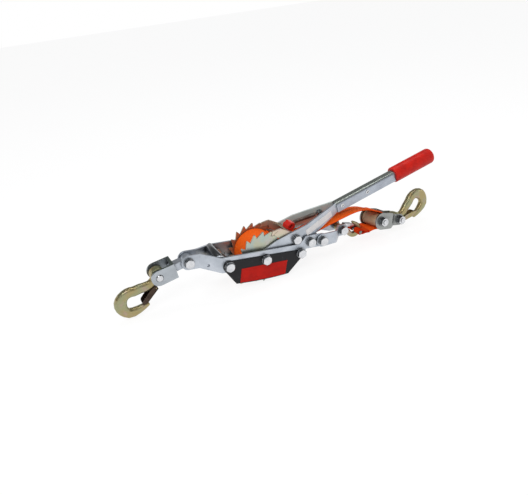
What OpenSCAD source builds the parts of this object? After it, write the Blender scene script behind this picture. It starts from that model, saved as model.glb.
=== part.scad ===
// Two-wheel ratchet come along winch with a webbing strap, three hooks and a swinging handle.
// Lengths are in millimetres. Pieces are drawn round the drum axle, with X along the frame
// towards the handle, then the whole winch is set down as it lies on a floor.

/* [View] */

// Piece to draw, or all of them

/* [Stance] */

// Slope of the frame when the winch lies on a floor, nose end up, degrees
lie_angle = 8; // [0:0.5:12]
// Length of the frame-to-world shift that centres the winch on the origin
centre_shift = 72; // [60:1:90]

/* [Strap] */

// Width of the webbing
strap_w = 45; // [40:1:50]
// Thickness of the webbing
strap_t = 2.2; // [1.8:0.1:3]
// Outer radius of the strap wound on the drum
coil_r = 42; // [30:1:43]

/* [Drum and ratchets] */

// Radius over the ratchet teeth
wheel_r = 53; // [48:1:56]
// Depth of a ratchet tooth
tooth_depth = 9; // [6:0.5:10]
// Number of ratchet teeth
teeth = 18; // [15:1:20]
// Angle of one tooth tip, degrees above the frame line
tooth_phase = 71.5; // [60:0.5:90]
// Thickness of a ratchet wheel
wheel_t = 3; // [2:0.5:4]
// Outer radius of the drum tube
hub_r = 14; // [12:1:18]

/* [Frame] */

// Thickness of the side plates
plate_t = 4; // [3:0.5:5]
// Distance from the middle plane to the outer face of a side plate
frame_half = 36; // [34:0.5:40]
// Distance from the middle plane to the outer face at the nose
nose_half = 13; // [11:0.5:16]
// Distance from the drum axle to the nose bolt
nose_x = 148; // [135:1:160]
// Height of the nose bolt over the drum axle
nose_z = 9.5; // [5:0.5:14]
// Half the distance between the outer guard bolts
guard_half = 77.5; // [70:0.5:85]
// Height of the rear neck of the frame over the drum axle
neck_z = 19.5; // [15:0.5:24]
// Distance from the drum axle to the rear link bolt
link_x = 126; // [120:1:132]

/* [Handle] */

// Angle of the handle over the frame at rest, degrees
handle_angle = 20; // [15:0.5:25]
// Distance of the handle channel over the line through the drum axle
handle_rise = 7.7; // [5:0.1:12]
// Distance from the drum axle to the end of the grip
handle_len = 444; // [400:2:480]
// Width of the handle channel
channel_w = 20.5; // [17:0.5:23]
// Height of the handle channel
channel_h = 21; // [17:0.5:24]
// Outer radius of the grip
grip_r = 17; // [16.5:0.5:19]
// Length of the grip
grip_len = 104; // [90:2:120]

/* [Hooks] */

// Angle of the front swivel chain below the frame line, degrees
chain_angle = 16.5; // [10:0.1:30]
// Distance from the nose bolt to the front hook pin
chain_len = 60.5; // [58:0.5:70]
// Angle of the front hook below the frame line, degrees
front_hook_angle = 45; // [30:1:60]
// Radius of the front hook's bowl, to the middle of its bar
hook_bowl = 22.5; // [20:0.5:24]
// Size of the rear hook against the front hook
rear_hook_scale = 1; // [0.9:0.01:1.02]
// Size of the strap end hook against the front hook
anchor_hook_scale = 0.58; // [0.55:0.01:0.62]
// Angle of the strap end hook below the frame line, degrees
anchor_angle = 14; // [5:1:20]
// Angle of the rear link over the frame line, degrees
link_lift = 4; // [0:0.5:8]
// Distance between the rear link's two bolts
link_len = 63; // [60:1:70]
// Angle of the rear hook over the pulley block, degrees
rear_hook_angle = 27; // [15:1:60]

/* [Pulley block] */

// Distance from the drum axle to the pulley bolt
block_x = 281.5; // [275:0.5:290]
// Height of the pulley bolt over the drum axle
block_z = 28.5; // [20:0.5:35]
// Roll, pitch and yaw of the pulley block on the slack strap, degrees
block_turn = [-7, 7, 3.5]; // [-20:1:20]
// Radius of the strap pulley
pulley_r = 15; // [13:0.5:16]
// Distance between the pulley bolt and the hook bolt
block_len = 58; // [55:1:65]

/* [Hidden] */

$fn = 48;
fit = 0.1;                           // running clearance of a bolt in its bore
gap = 0.3;                           // side clearance between pieces that turn
bolt_r = 5;
bolt_af = 17;                        // across the flats of an M10 head
head_h = 6.4;
nut_h = 8;
washer_t = 1.6;
stub = 1.5;

root_r = wheel_r - tooth_depth;
pitch = 360 / teeth;
wheel_in = strap_w / 2 + 0.5;        // inner face of a ratchet wheel
wheel_out = wheel_in + wheel_t;
arm_room = frame_half - plate_t - wheel_out;   // between a wheel and its side plate
arm_t = 0.6 * arm_room;
arm_play = (arm_room - arm_t) / 2;
arm_out = wheel_out + arm_play + arm_t;  // outer face of a yoke arm beside the drum
guard_t = 2;
guard_out = frame_half + guard_t;
guard_drop = 40.5;                   // lower edge of the guard below the axle
guard_bow = 2.5;                     // how much lower that edge is in its middle
plate_top = 18.5;
plate_low = -13;
neck_r = 13.5;
neck_bolt_x = 100;
link_t = 4;
link_out = frame_half + link_t;
link_end = [link_x + link_len * cos(link_lift), neck_z + link_len * sin(link_lift)];
link_splay = [32, 52];               // where the link's plates close in, along the link
link_end_half = 18;
handle_pivot = [74.8, 3.3];          // pawl bolt, along and over the handle line
splay_u = [105, 187];                // where the yoke arms start and stop closing in
channel_u = splay_u[1] + 2;          // where the channel starts over the ends of the arms
channel_t = 2;                       // thickness of the channel's metal
channel_corner = 6;                  // radius along the channel's top edges
lap_half = channel_w / 2 - channel_t - arm_t / 2;
arm_lean = atan2(arm_out - arm_t / 2 - lap_half, splay_u[1] - splay_u[0]);
lap_top = handle_rise + channel_h / 2 - channel_corner - 0.3;
lap_end = 274;                       // where the arms end inside the channel
lap_rivets = [202, 266];
stop_at = [158, 5.2];                // stop bolt of the far arm, along and over the handle line
stop_y = arm_out - arm_t / 2 - (stop_at[0] - splay_u[0]) * tan(arm_lean);
arm_top = handle_rise + channel_h / 2;
arm_low = handle_rise - channel_h / 2;
channel_end_u = handle_len - 14;
eye_half = nose_half - plate_t - gap;
chain_dir = 180 + chain_angle;
hook_pin = [-nose_x + chain_len * cos(chain_dir), nose_z + chain_len * sin(chain_dir)];
clevis_half = 19;
clevis_t = 4;
clevis_r = 15.5;
hook_size = hook_bowl / 22.5;        // size of the front hook's forging
rear_size = hook_size * rear_hook_scale;
anchor_size = hook_size * anchor_hook_scale;
hook_t = 16 * hook_size;             // thickness of the front hook's eye
spring_wire = 1.5;
spring_r = 3.6;                      // drive pawl's spring, to the middle of its wire
holding_release = 9;                 // how far the holding pawl is turned out of the teeth
cheek_t = 3.5;
block_half = strap_w / 2 + 1 + cheek_t;   // outer face of a cheek beside the pulley
block_tail_half = 19;
cheek_r = pulley_r + strap_t + 1.3;  // the cheeks cover the strap on the pulley
floor_z = wheel_r + 0.2;             // height of the drum axle over the floor

// ---------------------------------------------------------------- frames

// Sets the winch down on the floor, centred over the origin.
module lay() {
    translate([-centre_shift, 0, floor_z])
        rotate([0, lie_angle, 0])
            children();
}

// Draws in the handle's own line: x along the handle, z over it.
module handle_frame() {
    rotate([0, -handle_angle, 0])
        children();
}

// Draws along the front swivel chain, from the nose bolt.
module chain_frame() {
    translate([-nose_x, 0, nose_z])
        rotate([0, -chain_dir, 0])
            children();
}

// Draws in the pulley block, from the middle of its pulley.
module block_frame() {
    translate([block_x, 0, block_z])
        rotate(block_turn)
            children();
}

// Copies a near-side piece to the far side.
module far_side() {
    mirror([0, 1, 0])
        children();
}

// ---------------------------------------------------------------- basic forms

// A flat outline in X and Z, given thickness from y0 to y1.
module slab(y0, y1) {
    translate([0, y1, 0])
        rotate([90, 0, 0])
            linear_extrude(y1 - y0)
                children();
}

// A round bar across the winch at [x, z].
module across(at, r, y0, y1) {
    translate([at[0], y1, at[1]])
        rotate([90, 0, 0])
            cylinder(r = r, h = y1 - y0);
}

// Unit normal of the step from p to q, to its left.
function left_of(p, q) = let (d = q - p) [-d[1], d[0]] / norm(d);

// An open path moved sideways by d, with mitred corners.
function shifted(path, d) = [
    for (i = [0:len(path) - 1])
        let (
            a = left_of(path[max(i - 1, 0)], path[max(i, 1)]),
            b = left_of(path[min(i, len(path) - 2)], path[min(i + 1, len(path) - 1)])
        )
        path[i] + d * (a + b) / (1 + a * b)
];

function reversed(list) = [for (i = [len(list) - 1:-1:0]) list[i]];

// A bent strip seen from above: a path of [x, y] with metal from d0 to d1 on its left.
module bent_strip(path, d0, d1, z0, z1) {
    translate([0, 0, z0])
        linear_extrude(z1 - z0)
            polygon(concat(shifted(path, d0), reversed(shifted(path, d1))));
}

// A near-side plate: its side view is given as children, and it is bent along the path
// and bored at the given points.
module bent_plate(path, t, z0, z1, bores) {
    difference() {
        intersection() {
            union()
                children();
            bent_strip(path, -t / 2, t / 2, z0, z1);
        }
        for (at = bores)
            across(at, bolt_r + fit, -60, 0);
    }
}

// A hexagon head or nut with chamfered corners, its base on the XY plane.
module hexagon(af, h) {
    corner = af / sqrt(3);
    intersection() {
        cylinder(r = corner, h = h, $fn = 6);
        rotate_extrude()
            polygon([[0, 0], [corner, 0], [corner, h - 1], [af / 2 - 0.2, h], [0, h]]);
    }
}

// A bolt across the winch at [x, z], with its head near and its nut far.
module cross_bolt(at, face, r = bolt_r, af = bolt_af, washer_r = 10) {
    across(at, r, -face - washer_t, face + washer_t + nut_h + stub);
    for (side = [-1, 1])
        across(at, washer_r, side < 0 ? -face - washer_t : face, side < 0 ? -face : face + washer_t);
    translate([at[0], -face - washer_t, at[1]])
        rotate([90, 30, 0])
            hexagon(af, head_h);
    translate([at[0], face + washer_t, at[1]])
        rotate([-90, 30, 0])
            hexagon(af, nut_h);
}

// The section of an inverted channel, open below, with rounded top corners.
module arch(w, h, corner) {
    polygon(concat(
        [[-w / 2, -h / 2]],
        [for (a = [180:-15:90]) [-w / 2 + corner + corner * cos(a), h / 2 - corner + corner * sin(a)]],
        [for (a = [90:-15:0]) [w / 2 - corner + corner * cos(a), h / 2 - corner + corner * sin(a)]],
        [[w / 2, -h / 2]]
    ));
}

// A sleeve across the winch, bored for a bolt.
module sleeve(at, r, bore, half) {
    difference() {
        across(at, r, -half, half);
        across(at, bore, -half - 1, half + 1);
    }
}

// ---------------------------------------------------------------- lofts

// Superellipse term, which rounds the corners of a forged bar.
function rounded(v) = sign(v) * pow(abs(v), 0.7);

// Direction of a path at point i.
function heading(path, i) =
    let (d = path[min(i + 1, len(path) - 1)] - path[max(i - 1, 0)])
    d / norm(d);

// Faces of a loft with n points round each ring.
function loft_faces(rings, n) = concat(
    [[for (j = [0:n - 1]) j]],
    [for (i = [0:rings - 2]) for (j = [0:n - 1])
        let (a = i * n + j, b = i * n + (j + 1) % n)
        each [[a, a + n, b + n], [a, b + n, b]]],
    [[for (j = [n - 1:-1:0]) (rings - 1) * n + j]]
);

// A forged bar in the XZ plane: stations are [x, z, half width, half thickness].
module forged_bar(stations, n = 16) {
    path = [for (s = stations) [s[0], s[1]]];
    points = [
        for (i = [0:len(stations) - 1]) for (j = [0:n - 1])
            let (
                d = heading(path, i),
                a = 360 * j / n,
                across_bar = stations[i][2] * rounded(cos(a)),
                y = -stations[i][3] * rounded(sin(a))
            )
            [path[i][0] - d[1] * across_bar, y, path[i][1] + d[0] * across_bar]
    ];
    polyhedron(points, loft_faces(len(stations), n), convexity = 6);
}

// A flat strap: stations are [centre, width direction].
module webbing(stations) {
    points = [
        for (i = [0:len(stations) - 1])
            let (
                last = len(stations) - 1,
                d = stations[min(i + 1, last)][0] - stations[max(i - 1, 0)][0],
                w = stations[i][1] * strap_w / 2 / norm(stations[i][1]),
                n = cross(d, w),
                t = n * strap_t / 2 / norm(n)
            )
            for (p = [w + t, t - w, -w - t, w - t]) stations[i][0] + p
    ];
    polyhedron(points, loft_faces(len(stations), 4), convexity = 6);
}

// ---------------------------------------------------------------- frame

nose_bend = [-nose_x + 21, -nose_x + 56];    // where the plates spread behind the nose
plate_path = [
    [-nose_x - 16, -nose_half + plate_t / 2], [nose_bend[0], -nose_half + plate_t / 2],
    [nose_bend[1], -frame_half + plate_t / 2], [link_x + 16, -frame_half + plate_t / 2]
];
dimple_at = [-nose_x + 34, 2];               // half-sheared dimple on the spread
dimple_face = -nose_half - 0.37 * (frame_half - nose_half) + plate_t / 2;

plate_bores = [
    [-nose_x, nose_z], [-guard_half, 0], [0, 0], [guard_half, 0],
    [neck_bolt_x, neck_z], [link_x, neck_z]
];

module side_plate() {
    color("silver")
        difference() {
            bent_plate(plate_path, plate_t, -60, 60, plate_bores) {
                across([-nose_x, nose_z], 14.5, -60, 0);
                across([link_x, neck_z], neck_r, -60, 0);
                slab(-60, 0)
                    polygon([
                        [-nose_x, nose_z + 14.5], [nose_bend[0], nose_z + 14.5],
                        [nose_bend[1], plate_top], [guard_half - 2.5, plate_top],
                        [guard_half + 10.5, neck_z + neck_r], [link_x, neck_z + neck_r],
                        [link_x, neck_z - neck_r], [guard_half + 12.5, neck_z - neck_r],
                        [guard_half + 6.5, plate_low + 2], [guard_half, plate_low],
                        [-guard_half - 10.5, plate_low], [nose_bend[0], nose_z - 14.5],
                        [-nose_x, nose_z - 14.5]
                    ]);
            }
            across(dimple_at, 3.2, -60, dimple_face - 1);
        }
}

guard_bolts = [[-guard_half, 11.5], [0, 10.5], [guard_half, 8.5]];   // place and lug radius
guard_low = [-guard_half + 15.5, guard_half - 26.5];                 // ends of the lower edge

// A point of the guard's bowed lower edge, from -1 at its left end to 1 at its right.
function guard_edge(t, raise) = [
    (guard_low[0] + guard_low[1] + t * (guard_low[1] - guard_low[0])) / 2,
    raise - guard_drop - guard_bow * (1 - t * t)
];

module guard_outline(inset = 0) {
    difference() {
        union() {
            for (lug = guard_bolts)
                translate([lug[0], 0])
                    circle(r = lug[1] - inset);
            polygon(concat(
                [[-guard_half, 10 - inset], [-guard_half - 8.5 + 1.2 * inset, -9]],
                [for (t = [-1:0.25:1]) guard_edge(t * (1 - inset / 120), inset)],
                [[guard_half + 2.5 - 1.2 * inset, -10], [guard_half, 7 - inset]]
            ));
        }
        for (lug = guard_bolts)
            translate([lug[0], 0])
                circle(r = bolt_r + fit);
    }
}

// A pressed guard with a lip turned in along its lower edges.
module guard() {
    color([0.1, 0.1, 0.11]) {
        slab(-guard_out, -frame_half)
            guard_outline();
        slab(-frame_half, -frame_half + 5)
            difference() {
                guard_outline();
                guard_outline(2);
                translate([-guard_half - 42.5, plate_low - 1.5])
                    square([2 * guard_half + 85, 60]);
            }
    }
}

module guard_panel() {
    color([0.75, 0.1, 0.08])
        slab(-guard_out - 0.6, -guard_out)
            polygon(concat(
                [[guard_low[1] - 4, -10], [guard_low[0] + 10, -10]],
                [for (t = [-0.87:0.29:0.87]) guard_edge(t, 2)]
            ));
}

module nose_bolt() {
    color("gainsboro")
        cross_bolt([-nose_x, nose_z], nose_half);
}

// A tube between the plates, its ends trimmed to their inner faces.
module nose_spacer() {
    color("silver")
        difference() {
            sleeve([-guard_half - 15, 12.5], 10, 6.5, frame_half);
            for (side = [0, 1])
                mirror([0, side, 0])
                    bent_strip(plate_path, -20, plate_t / 2, -20, 40);
        }
}

module right_spacer() {
    color("silver")
        sleeve([guard_half, 0], 8, bolt_r + fit, frame_half - plate_t);
}

module guard_bolt_left() {
    color("gainsboro")
        cross_bolt([-guard_half, 0], guard_out);
}

module drum_axle_bolt() {
    color("gainsboro")
        cross_bolt([0, 0], guard_out);
}

module guard_bolt_right() {
    color("gainsboro")
        cross_bolt([guard_half, 0], guard_out);
}

module neck_bolt() {
    color("gray")
        cross_bolt([neck_bolt_x, neck_z], frame_half);
}

// ---------------------------------------------------------------- drum

// Saw teeth with their steep sides facing clockwise.
function tooth(i) = let (a = tooth_phase + i * pitch) [
    root_r * [cos(a - 1.5), sin(a - 1.5)],
    wheel_r * [cos(a), sin(a)],
    wheel_r * [cos(a + 2.5), sin(a + 2.5)]
];

module ratchet_wheel() {
    color([0.8, 0.74, 0.5])
        slab(-wheel_out, -wheel_in)
            difference() {
                polygon([for (i = [0:teeth - 1]) each tooth(i)]);
                circle(r = hub_r);
            }
}

module drum_tube() {
    color("silver")
        difference() {
            across([0, 0], hub_r, -wheel_out, wheel_out);
            across([0, 0], bolt_r + fit, -wheel_out - 1, wheel_out + 1);
        }
}

module strap_wound() {
    color([0.95, 0.4, 0.08])
        difference() {
            across([0, 0], coil_r, -strap_w / 2, strap_w / 2);
            across([0, 0], hub_r, -strap_w / 2 - 1, strap_w / 2 + 1);
        }
}

// ---------------------------------------------------------------- holding pawl

// Draws round the holding pawl's bolt, with the pawl turned out of the teeth.
module holding_frame() {
    translate([-guard_half, 0, 0])
        rotate([0, holding_release, 0])
            children();
}

module holding_cheek() {
    difference() {
        union() {
            across([0, 0], 8.8, -wheel_out - 0.5, -wheel_in + 0.5);
            slab(-wheel_out - 0.5, -wheel_in + 0.5)
                polygon([
                    [-5, -7.2], [3, 8.2], [8.6, 1.6], [31.5, -28.6], [47.3, -34.3],
                    [43, -41.9], [38, -44.5], [22, -38.5]
                ]);
        }
        across([0, 0], 6, -60, 0);
    }
}

// Two cheeks under the drum on one hub, joined by a web behind the teeth.
module holding_pawl() {
    color([0.76, 0.66, 0.4])
        holding_frame() {
            holding_cheek();
            far_side()
                holding_cheek();
            sleeve([0, 0], 6.8, bolt_r + fit, frame_half - plate_t - gap);
            slab(-wheel_in + 0.4, wheel_in - 0.4)
                polygon([[8, -22.4], [10.6, -20.8], [24.4, -36.4], [22, -38.5]]);
        }
}

// Coils of the spring round the holding pawl's hub.
module holding_pawl_spring() {
    color("dimgray")
        for (i = [0:5])
            translate([-guard_half, -5 + i * 2, 0])
                rotate([90, 0, 0])
                    rotate_extrude()
                        translate([7.9, 0])
                            circle(r = spring_wire / 2, $fn = 16);
}

// ---------------------------------------------------------------- handle

arm_path = [
    [-20, -arm_out + arm_t / 2], [splay_u[0], -arm_out + arm_t / 2],
    [splay_u[1], -lap_half], [lap_end, -lap_half]
];

module yoke_arm(stop_bore = 0) {
    color("silver")
        handle_frame()
            difference() {
                bent_plate(arm_path, arm_t, -30, 60, [[0, 0], handle_pivot]) {
                    across([0, 0], 16, -60, 0);
                    slab(-60, 0)
                        polygon([
                            [0, 16], [36, arm_top + 3.4], [splay_u[0], arm_top + 2.3],
                            [channel_u, arm_top], [channel_u, lap_top], [lap_end, lap_top],
                            [lap_end, arm_low + 1], [splay_u[1] + 2, arm_low],
                            [splay_u[0] + 8, -10.4], [splay_u[0] - 16, -10], [0, -16]
                        ]);
                }
                for (u = lap_rivets)
                    across([u, handle_rise], 3, -60, 0);
                if (stop_bore > 0)
                    across(stop_at, stop_bore, -60, 0);
            }
}

module handle_channel() {
    color("silver")
        handle_frame()
            difference() {
                translate([channel_u, 0, handle_rise])
                    rotate([90, 0, 90])
                        linear_extrude(channel_end_u - channel_u)
                            difference() {
                                arch(channel_w, channel_h, channel_corner);
                                translate([0, -channel_t])
                                    arch(channel_w - 2 * channel_t, channel_h, channel_corner - channel_t);
                            }
                for (u = lap_rivets)
                    across([u, handle_rise], 3, -60, 60);
            }
}

// The rivets through the channel and the arms' ends, with a shallow dish in each head.
module lap_rivets() {
    color("silver")
        handle_frame()
            for (u = lap_rivets)
                difference() {
                    union() {
                        across([u, handle_rise], 3, -channel_w / 2, channel_w / 2);
                        across([u, handle_rise], 4.2, -channel_w / 2 - 0.8, -channel_w / 2);
                        across([u, handle_rise], 4.2, channel_w / 2, channel_w / 2 + 0.8);
                    }
                    across([u, handle_rise], 2.4, -channel_w / 2 - 2, -channel_w / 2 + 0.4);
                }
}

// A moulded sleeve over the end of the channel, closed and rounded at its own end.
module handle_grip() {
    start = handle_len - grip_len;
    color([0.85, 0.1, 0.07])
        handle_frame()
            difference() {
                translate([start, 0, handle_rise])
                    rotate([0, 90, 0])
                        rotate_extrude()
                            polygon(concat(
                                [[0, 0], [grip_r - 1.2, 0], [grip_r, 1.4]],
                                [for (a = [0:15:90]) [(grip_r - 7) + 7 * cos(a), grip_len - 7 + 7 * sin(a)]],
                                [[0, grip_len]]
                            ));
                translate([start - 1, 0, handle_rise])
                    rotate([90, 0, 90])
                        linear_extrude(channel_end_u + gap - start + 1)
                            arch(channel_w + 2 * fit, channel_h + 2 * fit, channel_corner + fit);
            }
}

module arm_strip() {
    color("white")
        handle_frame()
            intersection() {
                slab(-60, 0)
                    translate([splay_u[0] + 3, -0.4])
                        square([64, 9]);
                bent_strip(arm_path, -arm_t / 2 - 0.4, -arm_t / 2, -10, 30);
            }
}

module pawl_bolt() {
    color("gainsboro")
        handle_frame()
            cross_bolt(handle_pivot, arm_out);
}

// A bolt through the far arm, with its nut inside, that the pawl comes to rest against.
module stop_bolt() {
    color("gainsboro")
        handle_frame()
            translate([stop_at[0], stop_y, stop_at[1]])
                rotate([0, 0, -arm_lean]) {
                    across([0, 0], 4, -arm_t / 2 - 12, arm_t / 2 + 1);
                    translate([0, arm_t / 2, 0])
                        rotate([-90, 0, 0])
                            hexagon(13, 5);
                    translate([0, -arm_t / 2, 0])
                        rotate([90, 0, 0])
                            hexagon(13, 5.5);
                }
}

// ---------------------------------------------------------------- drive pawl

drive_pivot = [
    handle_pivot[0] * cos(handle_angle) - handle_pivot[1] * sin(handle_angle),
    handle_pivot[0] * sin(handle_angle) + handle_pivot[1] * cos(handle_angle)
];

// Steep flank of the tooth that the drive pawl pushes on.
flank_root = root_r * [cos(tooth_phase - 1.5), sin(tooth_phase - 1.5)];
flank_tip = wheel_r * [cos(tooth_phase), sin(tooth_phase)];

module drive_cheek_outline() {
    difference() {
        union() {
            translate(drive_pivot)
                circle(r = 9);
            polygon([
                flank_root + [0.9, 1.3], flank_tip + [1.2, 0.4], [29, 53.5], [35.5, 54.4], [60, 43.5],
                drive_pivot + [8.6, 2.7], drive_pivot + [-4, -8], [47, 32], [36, 36.8], [33.5, 43.3]
            ]);
        }
        translate(drive_pivot)
            circle(r = bolt_r + fit);
    }
}

// Two cheeks that drop into both wheels, with a face plate over each wheel and a web behind them.
module drive_pawl() {
    color([0.8, 0.72, 0.45]) {
        for (side = [0, 1])
            mirror([0, side, 0]) {
                slab(-wheel_out - arm_play / 3, -wheel_in - 0.1)
                    drive_cheek_outline();
                slab(-wheel_out - 0.8 * arm_play, -wheel_out - 0.2 * arm_play)
                    polygon([[21, 44], [34.5, 54.2], [56.5, 43.4], [54, 35], [35.4, 32.2]]);
            }
        slab(-wheel_in - 0.1, wheel_in + 0.1)
            polygon([[54.8, 41.6], [56.6, 44], [68.4, 38.2], [66.6, 36]]);
    }
}

module pawl_tab() {
    color([0.85, 0.12, 0.08])
        slab(-10, 10)
            difference() {
                polygon([[59, 43.1], [60.5, 50], [68, 55.5], [75.5, 54], [77, 46.5], [72, 39.6], [68.6, 38.4]]);
                polygon([[62.6, 46.6], [68.6, 52], [73, 51], [73.6, 46.8], [69.6, 42.2]]);
            }
}

// The pawl's return spring beside the far arm, as [along, across, over] the handle line: it has
// an eye round the pawl bolt, a leg, its close turns, a second leg and an eye on the stop bolt.
spring_side = wheel_in - 1.6;
spring_turns = 22;
spring_from = [101, spring_side - 0.5, 8.5];
spring_to = [146, 9, 8.5];
stop_side = 5;

// A straight round wire from p to q.
module wire(p, q) {
    d = q - p;
    translate(p)
        rotate([0, acos(d[2] / norm(d)), atan2(d[1], d[0])])
            cylinder(r = spring_wire / 2, h = norm(d));
}

// A closed turn of wire about the local Z axis.
module wire_ring(r) {
    rotate_extrude()
        translate([r, 0])
            circle(r = spring_wire / 2, $fn = 16);
}

module drive_pawl_spring() {
    d = spring_to - spring_from;
    over_turn = [0, 0, spring_r];
    bolt_eye = bolt_r + spring_wire / 2 + 0.2;
    stop_eye = 4 + spring_wire / 2 + 0.6;
    stop_u = stop_at[0] - (stop_y - stop_side) * tan(arm_lean);
    color("dimgray")
        handle_frame() {
            translate([handle_pivot[0], spring_side, handle_pivot[1]])
                rotate([90, 0, 0])
                    wire_ring(bolt_eye);
            wire([handle_pivot[0] + bolt_eye, spring_side, handle_pivot[1]], spring_from + over_turn);
            for (i = [0:spring_turns - 1])
                translate(spring_from + d * i / (spring_turns - 1))
                    rotate([0, 90, atan2(d[1], d[0])])
                        wire_ring(spring_r);
            wire(spring_to + over_turn, [stop_u - stop_eye, stop_side, stop_at[1]]);
            translate([stop_u, stop_side, stop_at[1]])
                rotate([90, 0, 0])
                    wire_ring(stop_eye);
        }
}

// ---------------------------------------------------------------- front chain

module swivel_eye() {
    color("silver")
        chain_frame() {
            difference() {
                union() {
                    across([0, 0], 12, -eye_half, eye_half);
                    translate([8, -eye_half, -7.5])
                        cube([17.5, 2 * eye_half, 15]);
                }
                across([0, 0], bolt_r + fit, -eye_half - 1, eye_half + 1);
            }
            translate([25.5, 0, 0])
                rotate([0, 90, 0]) {
                    cylinder(r = 9, h = 1.7);
                    cylinder(r = 6, h = 10);
                    translate([0, 0, 7.6])
                        cylinder(r1 = 10, r2 = 8, h = 4);
                }
        }
}

module clevis() {
    color("gainsboro")
        chain_frame()
            difference() {
                union() {
                    translate([27.5, -clevis_half, -15])
                        cube([5, 2 * clevis_half, 30]);
                    for (side = [0, 1])
                        mirror([0, side, 0])
                            slab(-clevis_half, -clevis_half + clevis_t)
                                union() {
                                    translate([chain_len, 0])
                                        circle(r = clevis_r);
                                    polygon([
                                        [27.5, -15], [27.5, 15], [chain_len, clevis_r], [chain_len, -clevis_r]
                                    ]);
                                }
                }
                translate([20, 0, 0])
                    rotate([0, 90, 0])
                        cylinder(r = 6 + fit, h = 20);
                across([chain_len, 0], bolt_r + fit, -30, 30);
            }
}

module front_hook_pin() {
    color("gainsboro")
        chain_frame() {
            across([chain_len, 0], bolt_r, -clevis_half - 1.5, clevis_half + 1.5);
            for (side = [0, 1])
                mirror([0, side, 0])
                    translate([chain_len, -clevis_half, 0])
                        rotate([90, 0, 0])
                            cylinder(r1 = 7.5, r2 = 5.5, h = 2);
            for (side = [0, 1])
                mirror([0, side, 0])
                    difference() {
                        across([chain_len, 0], 8, -clevis_half + clevis_t, -hook_t / 2 - gap);
                        across([chain_len, 0], bolt_r, -30, 0);
                    }
        }
}

// Extra half width of a hook's bar in its saddle, at angle a round the bowl.
function saddle(a) = 2.8 * exp(-pow((a - 315) / 38, 2));

// Stations of a hook along its bar, from the eye to the tip, at full size.
function hook_stations() = concat(
    [[8, 2.5, 10, 7], [16, 4, 9, 6.8], [24, 3, 8.8, 6.6], [32, -1.5, 9, 6.8], [40, -7.5, 9.2, 7]],
    [for (a = [218:15:383])
        let (r = 22.5 + saddle(a) / 8)
        [69 + r * cos(a), r * sin(a), 9.4 + saddle(a), 7.4 + saddle(a) / 6]],
    [[83, 15, 9, 7], [74, 19.5, 7.6, 6.4], [65, 22.8, 6.2, 5.8], [57, 25.5, 4.6, 5], [53, 26.8, 3, 4]]
);

// A forged hook lying along +X from its pin, its mouth towards +Z.
module hook_body(size) {
    scale(size)
        difference() {
            union() {
                across([0, 0], 14, -8, 8);
                forged_bar(hook_stations());
                across([21, 13], 3.2, -6, 6);
            }
            across([0, 0], (bolt_r + fit) / size, -16, 16);
        }
}

// A folded sheet latch that closes the mouth of a hook.
module latch_body(size) {
    scale(size)
        difference() {
            slab(-9, 9)
                polygon([[17, 9], [19, 17.5], [50, 20.2], [58.5, 17.6], [60, 14.2], [56.5, 11.5], [30, 7.5]]);
            slab(-7.7, 7.7)
                polygon([
                    [10, 5], [12, 15.9], [49.6, 18.7], [57.4, 16.3], [58.8, 13], [62, 6], [40, -20], [10, -10]
                ]);
            across([21, 13], (1.5 + fit) / size, -20, 20);
        }
}

module latch_pin(size) {
    scale(size)
        across([21, 13], 1.5 / size, -9.8, 9.8);
}

module front_hook_frame() {
    translate([hook_pin[0], 0, hook_pin[1]])
        rotate([0, -180 - front_hook_angle, 0])
            children();
}

module front_hook() {
    color([0.8, 0.72, 0.42])
        front_hook_frame() {
            hook_body(hook_size);
            latch_pin(hook_size);
        }
}

module front_latch() {
    color("dimgray")
        front_hook_frame()
            latch_body(hook_size);
}

// ---------------------------------------------------------------- rear link

link_path = [
    [-16, -link_out + link_t / 2], [link_splay[0], -link_out + link_t / 2],
    [link_splay[1], -link_end_half + link_t / 2], [link_len + 16, -link_end_half + link_t / 2]
];

// Draws along the rear link, from its bolt in the frame.
module link_frame() {
    translate([link_x, 0, neck_z])
        rotate([0, -link_lift, 0])
            children();
}

module link_plate() {
    color("silver")
        link_frame()
            bent_plate(link_path, link_t, -30, 30, [[0, 0], [link_len, 0]]) {
                across([0, 0], 13.5, -60, 0);
                across([link_len, 0], 12, -60, 0);
                slab(-60, 0)
                    polygon([
                        [0, 13.5], [link_splay[0], 13.5], [link_len, 12],
                        [link_len, -12], [link_splay[0], -12.5], [0, -13.5]
                    ]);
            }
}

module link_bolt() {
    color("gainsboro")
        cross_bolt([link_x, neck_z], link_out);
}

module anchor_bolt() {
    color("gainsboro")
        link_frame() {
            cross_bolt([link_len, 0], link_end_half);
            for (side = [0, 1])
                mirror([0, side, 0])
                    difference() {
                        across([link_len, 0], 8, -link_end_half + link_t, -8 * anchor_size - gap);
                        across([link_len, 0], bolt_r, -30, 0);
                    }
        }
}

module anchor_frame() {
    translate([link_end[0], 0, link_end[1]])
        rotate([0, anchor_angle, 0])
            children();
}

module anchor_hook() {
    color([0.8, 0.72, 0.42])
        anchor_frame() {
            hook_body(anchor_size);
            latch_pin(anchor_size);
        }
}

module anchor_latch() {
    color("silver")
        anchor_frame()
            latch_body(anchor_size);
}

// ---------------------------------------------------------------- pulley block

block_bend = [block_len - 30, block_len - 18];   // where the cheeks close in on the hook
cheek_path = [
    [-cheek_r - 2, -block_half + cheek_t / 2], [block_bend[0], -block_half + cheek_t / 2],
    [block_bend[1], -block_tail_half + cheek_t / 2], [block_len + 16, -block_tail_half + cheek_t / 2]
];

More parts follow.
